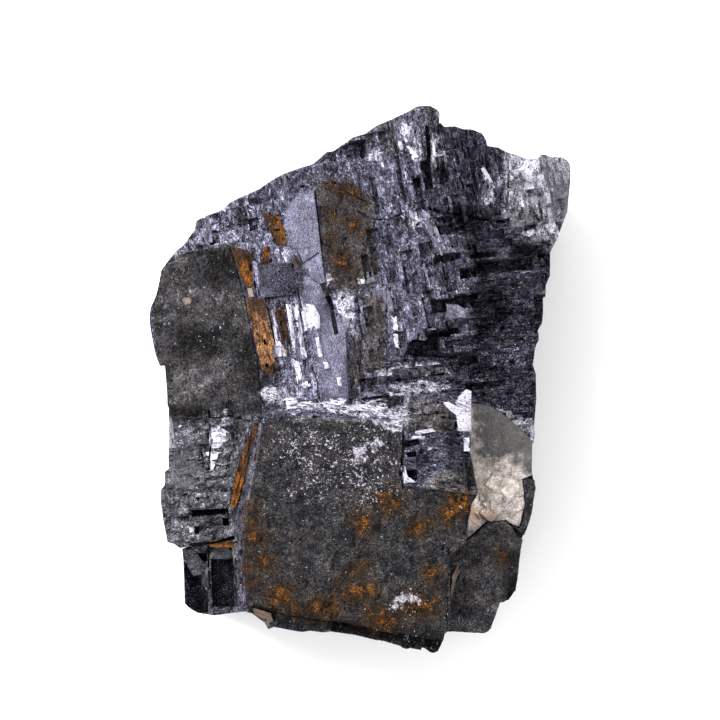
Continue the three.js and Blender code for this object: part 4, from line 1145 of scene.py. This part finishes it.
def calcite_material():
    material, p, surface = new_material("calcite_vein")
    wide = p.noise(160.0, 4.0)
    mid = p.noise(600.0, 5.0, 0.65)
    fine = p.noise(2300.0, 4.0, 0.7)
    dust = p.noise(5200.0, 1.0)
    _, _, grain = p.cells(p.place, 900.0)
    grey = p.blend(p.ramp(mid, 0.35, 0.65), rgb(0.047, 0.045, 0.044), rgb(0.093, 0.088, 0.086))
    cream = p.blend(p.ramp(mid, 0.35, 0.65), rgb(0.32, 0.265, 0.24), rgb(0.54, 0.49, 0.46))
    cream = p.multiply(cream, p.ramp(grain[0], 0, 1, 0.75, 1.15))
    cream = p.blend(p.ramp(wide, 0.56, 0.70, 0.0, 0.8), cream, rgb(0.40, 0.26, 0.17))
    # Painted light: the cream is up to 2.3 times lighter on the tongue that lies in shade.
    cream = p.multiply(cream, p.ramp(p.mark("bright"), -1.0, 1.0, 1.0, 2.3))
    reach = p.math("ADD", p.mark("coarse"), p.math("ADD", p.ramp(mid, 0.3, 0.7, -1.6, 1.6),
                                                   p.ramp(wide, 0.3, 0.7, -0.5, 0.5)))
    colour = p.blend(p.ramp(reach, -2.0, 1.6), grey, cream)
    colour = p.multiply(colour, p.product(p.ramp(fine, 0.35, 0.65, 0.75, 1.25),
                                          p.ramp(dust, 0.3, 0.7, 0.6, 1.4)))
    p.feed(surface["Base Color"], colour)
    p.feed(surface["Roughness"], p.ramp(mid, 0.3, 0.7, 0.45, 0.7))
    p.feed(surface["Normal"], p.bump(fine, 0.00010, p.bump(mid, 0.0003, strength=0.9), 0.9))
    surface["Specular IOR Level"].default_value = 0.3
    return material


def floor_material():
    material, p, surface = new_material("floor_white")
    p.feed(surface["Base Color"], p.blend(p.noise(4.0), rgb(0.92, 0.92, 0.92), rgb(0.94, 0.94, 0.94)))
    surface["Roughness"].default_value = 0.9
    surface["Specular IOR Level"].default_value = 0.1
    return material


# ---- Making the galena ------------------------------------------------------------------------------

SAMPLES = 110000  # random points on the surface, from which the places of the steps are drawn

galena = add_object("galena_mass", closed_copy("galena"))
start_points, start_faces = mesh_arrays(galena.data)
tree = BVHTree.FromPolygons(start_points.tolist(), start_faces.tolist())
samples, sample_normals, surface_area = surface_samples(start_points, start_faces, SAMPLES)
steps = steps_for(samples, sample_normals)
proud = list(facets(FLASH + RUST + TAN + PALE + BEIGE, 0.05, 0.3)) + list(facets(LEVELLED, -0.5, 0.05))
sunk = list(facets(BLACK, -0.7, -0.3))
carve(galena, [(box, BOX_FACES) for box in steps[True]] + proud, "UNION")
carve(galena, [(box, BOX_FACES) for box in steps[False]] + list(cracks()) + sunk, "DIFFERENCE")
tidy_mesh(galena.data)
dress_galena(galena.data)
galena.data.materials.clear()
galena.data.materials.append(galena_material())
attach(galena, "root")
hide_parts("galena")

# ---- Making the calcite -----------------------------------------------------------------------------

COARSE = [[(470, 458), (486, 465), (500, 469), (510, 462), (518, 472), (534, 486), (532, 530), (508, 526),
           (486, 530), (456, 552), (460, 506), (472, 492), (470, 472)],
          [(460, 402), (466, 404), (468, 440), (471, 462), (460, 462)]]
# Painted light on the lower left tongue of the vein, which faces away from the lamps and lies in shade.
CALCITE_PAINTED_LIGHT = [[(460, 500), (476, 492), (484, 510), (488, 530), (462, 550)]]
VEIN_SWELL = 0.22  # closes the joint with the galena
VEIN_X, VEIN_Y = 23.8, -15.0  # middle of the vein


def clipped(offset):
    return max(-1, min(1, offset))


def dress_calcite(mesh):
    """Swells and roughens the vein, and stores what its material reads, in mm."""
    b = bmesh.new()
    b.from_mesh(mesh)
    bmesh.ops.triangulate(b, faces=b.faces)
    for _ in range(6):
        long_edges = [e for e in b.edges if e.calc_length() > 0.45]
        if not long_edges:
            break
        bmesh.ops.subdivide_edges(b, edges=long_edges, cuts=1)
        bmesh.ops.triangulate(b, faces=[f for f in b.faces if len(f.verts) > 3])
        drop_doubled_faces(b)
    b.normal_update()
    for v in b.verts:
        v.co += v.normal * (0.10 * noise.noise(v.co * 1.1) + 0.07 * noise.noise(v.co * 3.0))
        v.co.x += VEIN_SWELL * clipped((v.co.x - VEIN_X) / 4)
        v.co.y += VEIN_SWELL * clipped((v.co.y - VEIN_Y) / 8)
    b.to_mesh(mesh)
    b.free()
    points, _ = mesh_arrays(mesh)
    for name, outlines in (("coarse", COARSE), ("bright", CALCITE_PAINTED_LIGHT)):
        store(mesh, name, "FLOAT", "POINT", mark_distance(points[:, :2], outlines))
    finish_mesh(mesh, 40)


calcite = add_object("calcite_vein", closed_copy("calcite"))
dress_calcite(calcite.data)
calcite.data.materials.clear()
calcite.data.materials.append(calcite_material())
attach(calcite, "root")
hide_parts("calcite")

# ---- Floor, light and camera ------------------------------------------------------------------------

floor_mesh = mesh_from("floor", np.array([(-3, -3, 0), (3, -3, 0), (3, 3, 0), (-3, 3, 0)]),
                       np.array([(0, 1, 2), (0, 2, 3)]))
floor = add_object("floor", floor_mesh)
floor.data.materials.append(floor_material())


def softbox(name, place, width, height, power):
    """A wide soft lamp that faces the specimen."""
    data = bpy.data.lights.new(name, "AREA")
    data.shape, data.size, data.size_y, data.energy = "RECTANGLE", width, height, power
    lamp = add_object(name, data)
    lamp.location = place
    lamp.rotation_euler = (Vector((0, 0, 0.02)) - Vector(place)).to_track_quat("-Z", "Y").to_euler()


softbox("key", (-0.75, 0.55, 0.85), 0.6, 0.6, 24)
softbox("fill", (0.9, -0.6, 0.9), 0.7, 0.7, 5)


def studio_world():
    """Pale walls all round, brighter to the upper left, with a dark card above the camera."""
    world = bpy.data.worlds.new("studio")
    world.use_nodes = True
    p = Paint(world.node_tree, "Generated")
    height = p.add("ShaderNodeSeparateXYZ", 2, {0: p.place})
    side = p.add("ShaderNodeVectorMath", 1, {0: p.place, 1: (-0.77, 0.64, 0.0)}, operation="DOT_PRODUCT")
    walls = p.ramp(side, -0.8, 0.8, 1.15, 2.4)
    background = world.node_tree.nodes["Background"].inputs
    background["Color"].default_value = rgb(1, 1, 1)
    p.feed(background["Strength"], p.level(p.ramp(height, 0.82, 0.95), walls, 0.4))
    return world


bpy.context.scene.world = studio_world()
bpy.context.scene.view_settings.view_transform = "Standard"

CAMERA_HEIGHT = 2.4
VIEW_WIDTH, VIEW_HEIGHT = 0.120, 0.030  # the view is this wide at this height
VIEW_MIDDLE_Y = 0.00325
SENSOR = 36

camera = add_object("camera", bpy.data.cameras.new("camera"))
camera.location = (0, VIEW_MIDDLE_Y, CAMERA_HEIGHT)
camera.data.sensor_width = SENSOR
camera.data.lens = SENSOR * (CAMERA_HEIGHT - VIEW_HEIGHT) / VIEW_WIDTH
bpy.context.scene.camera = camera
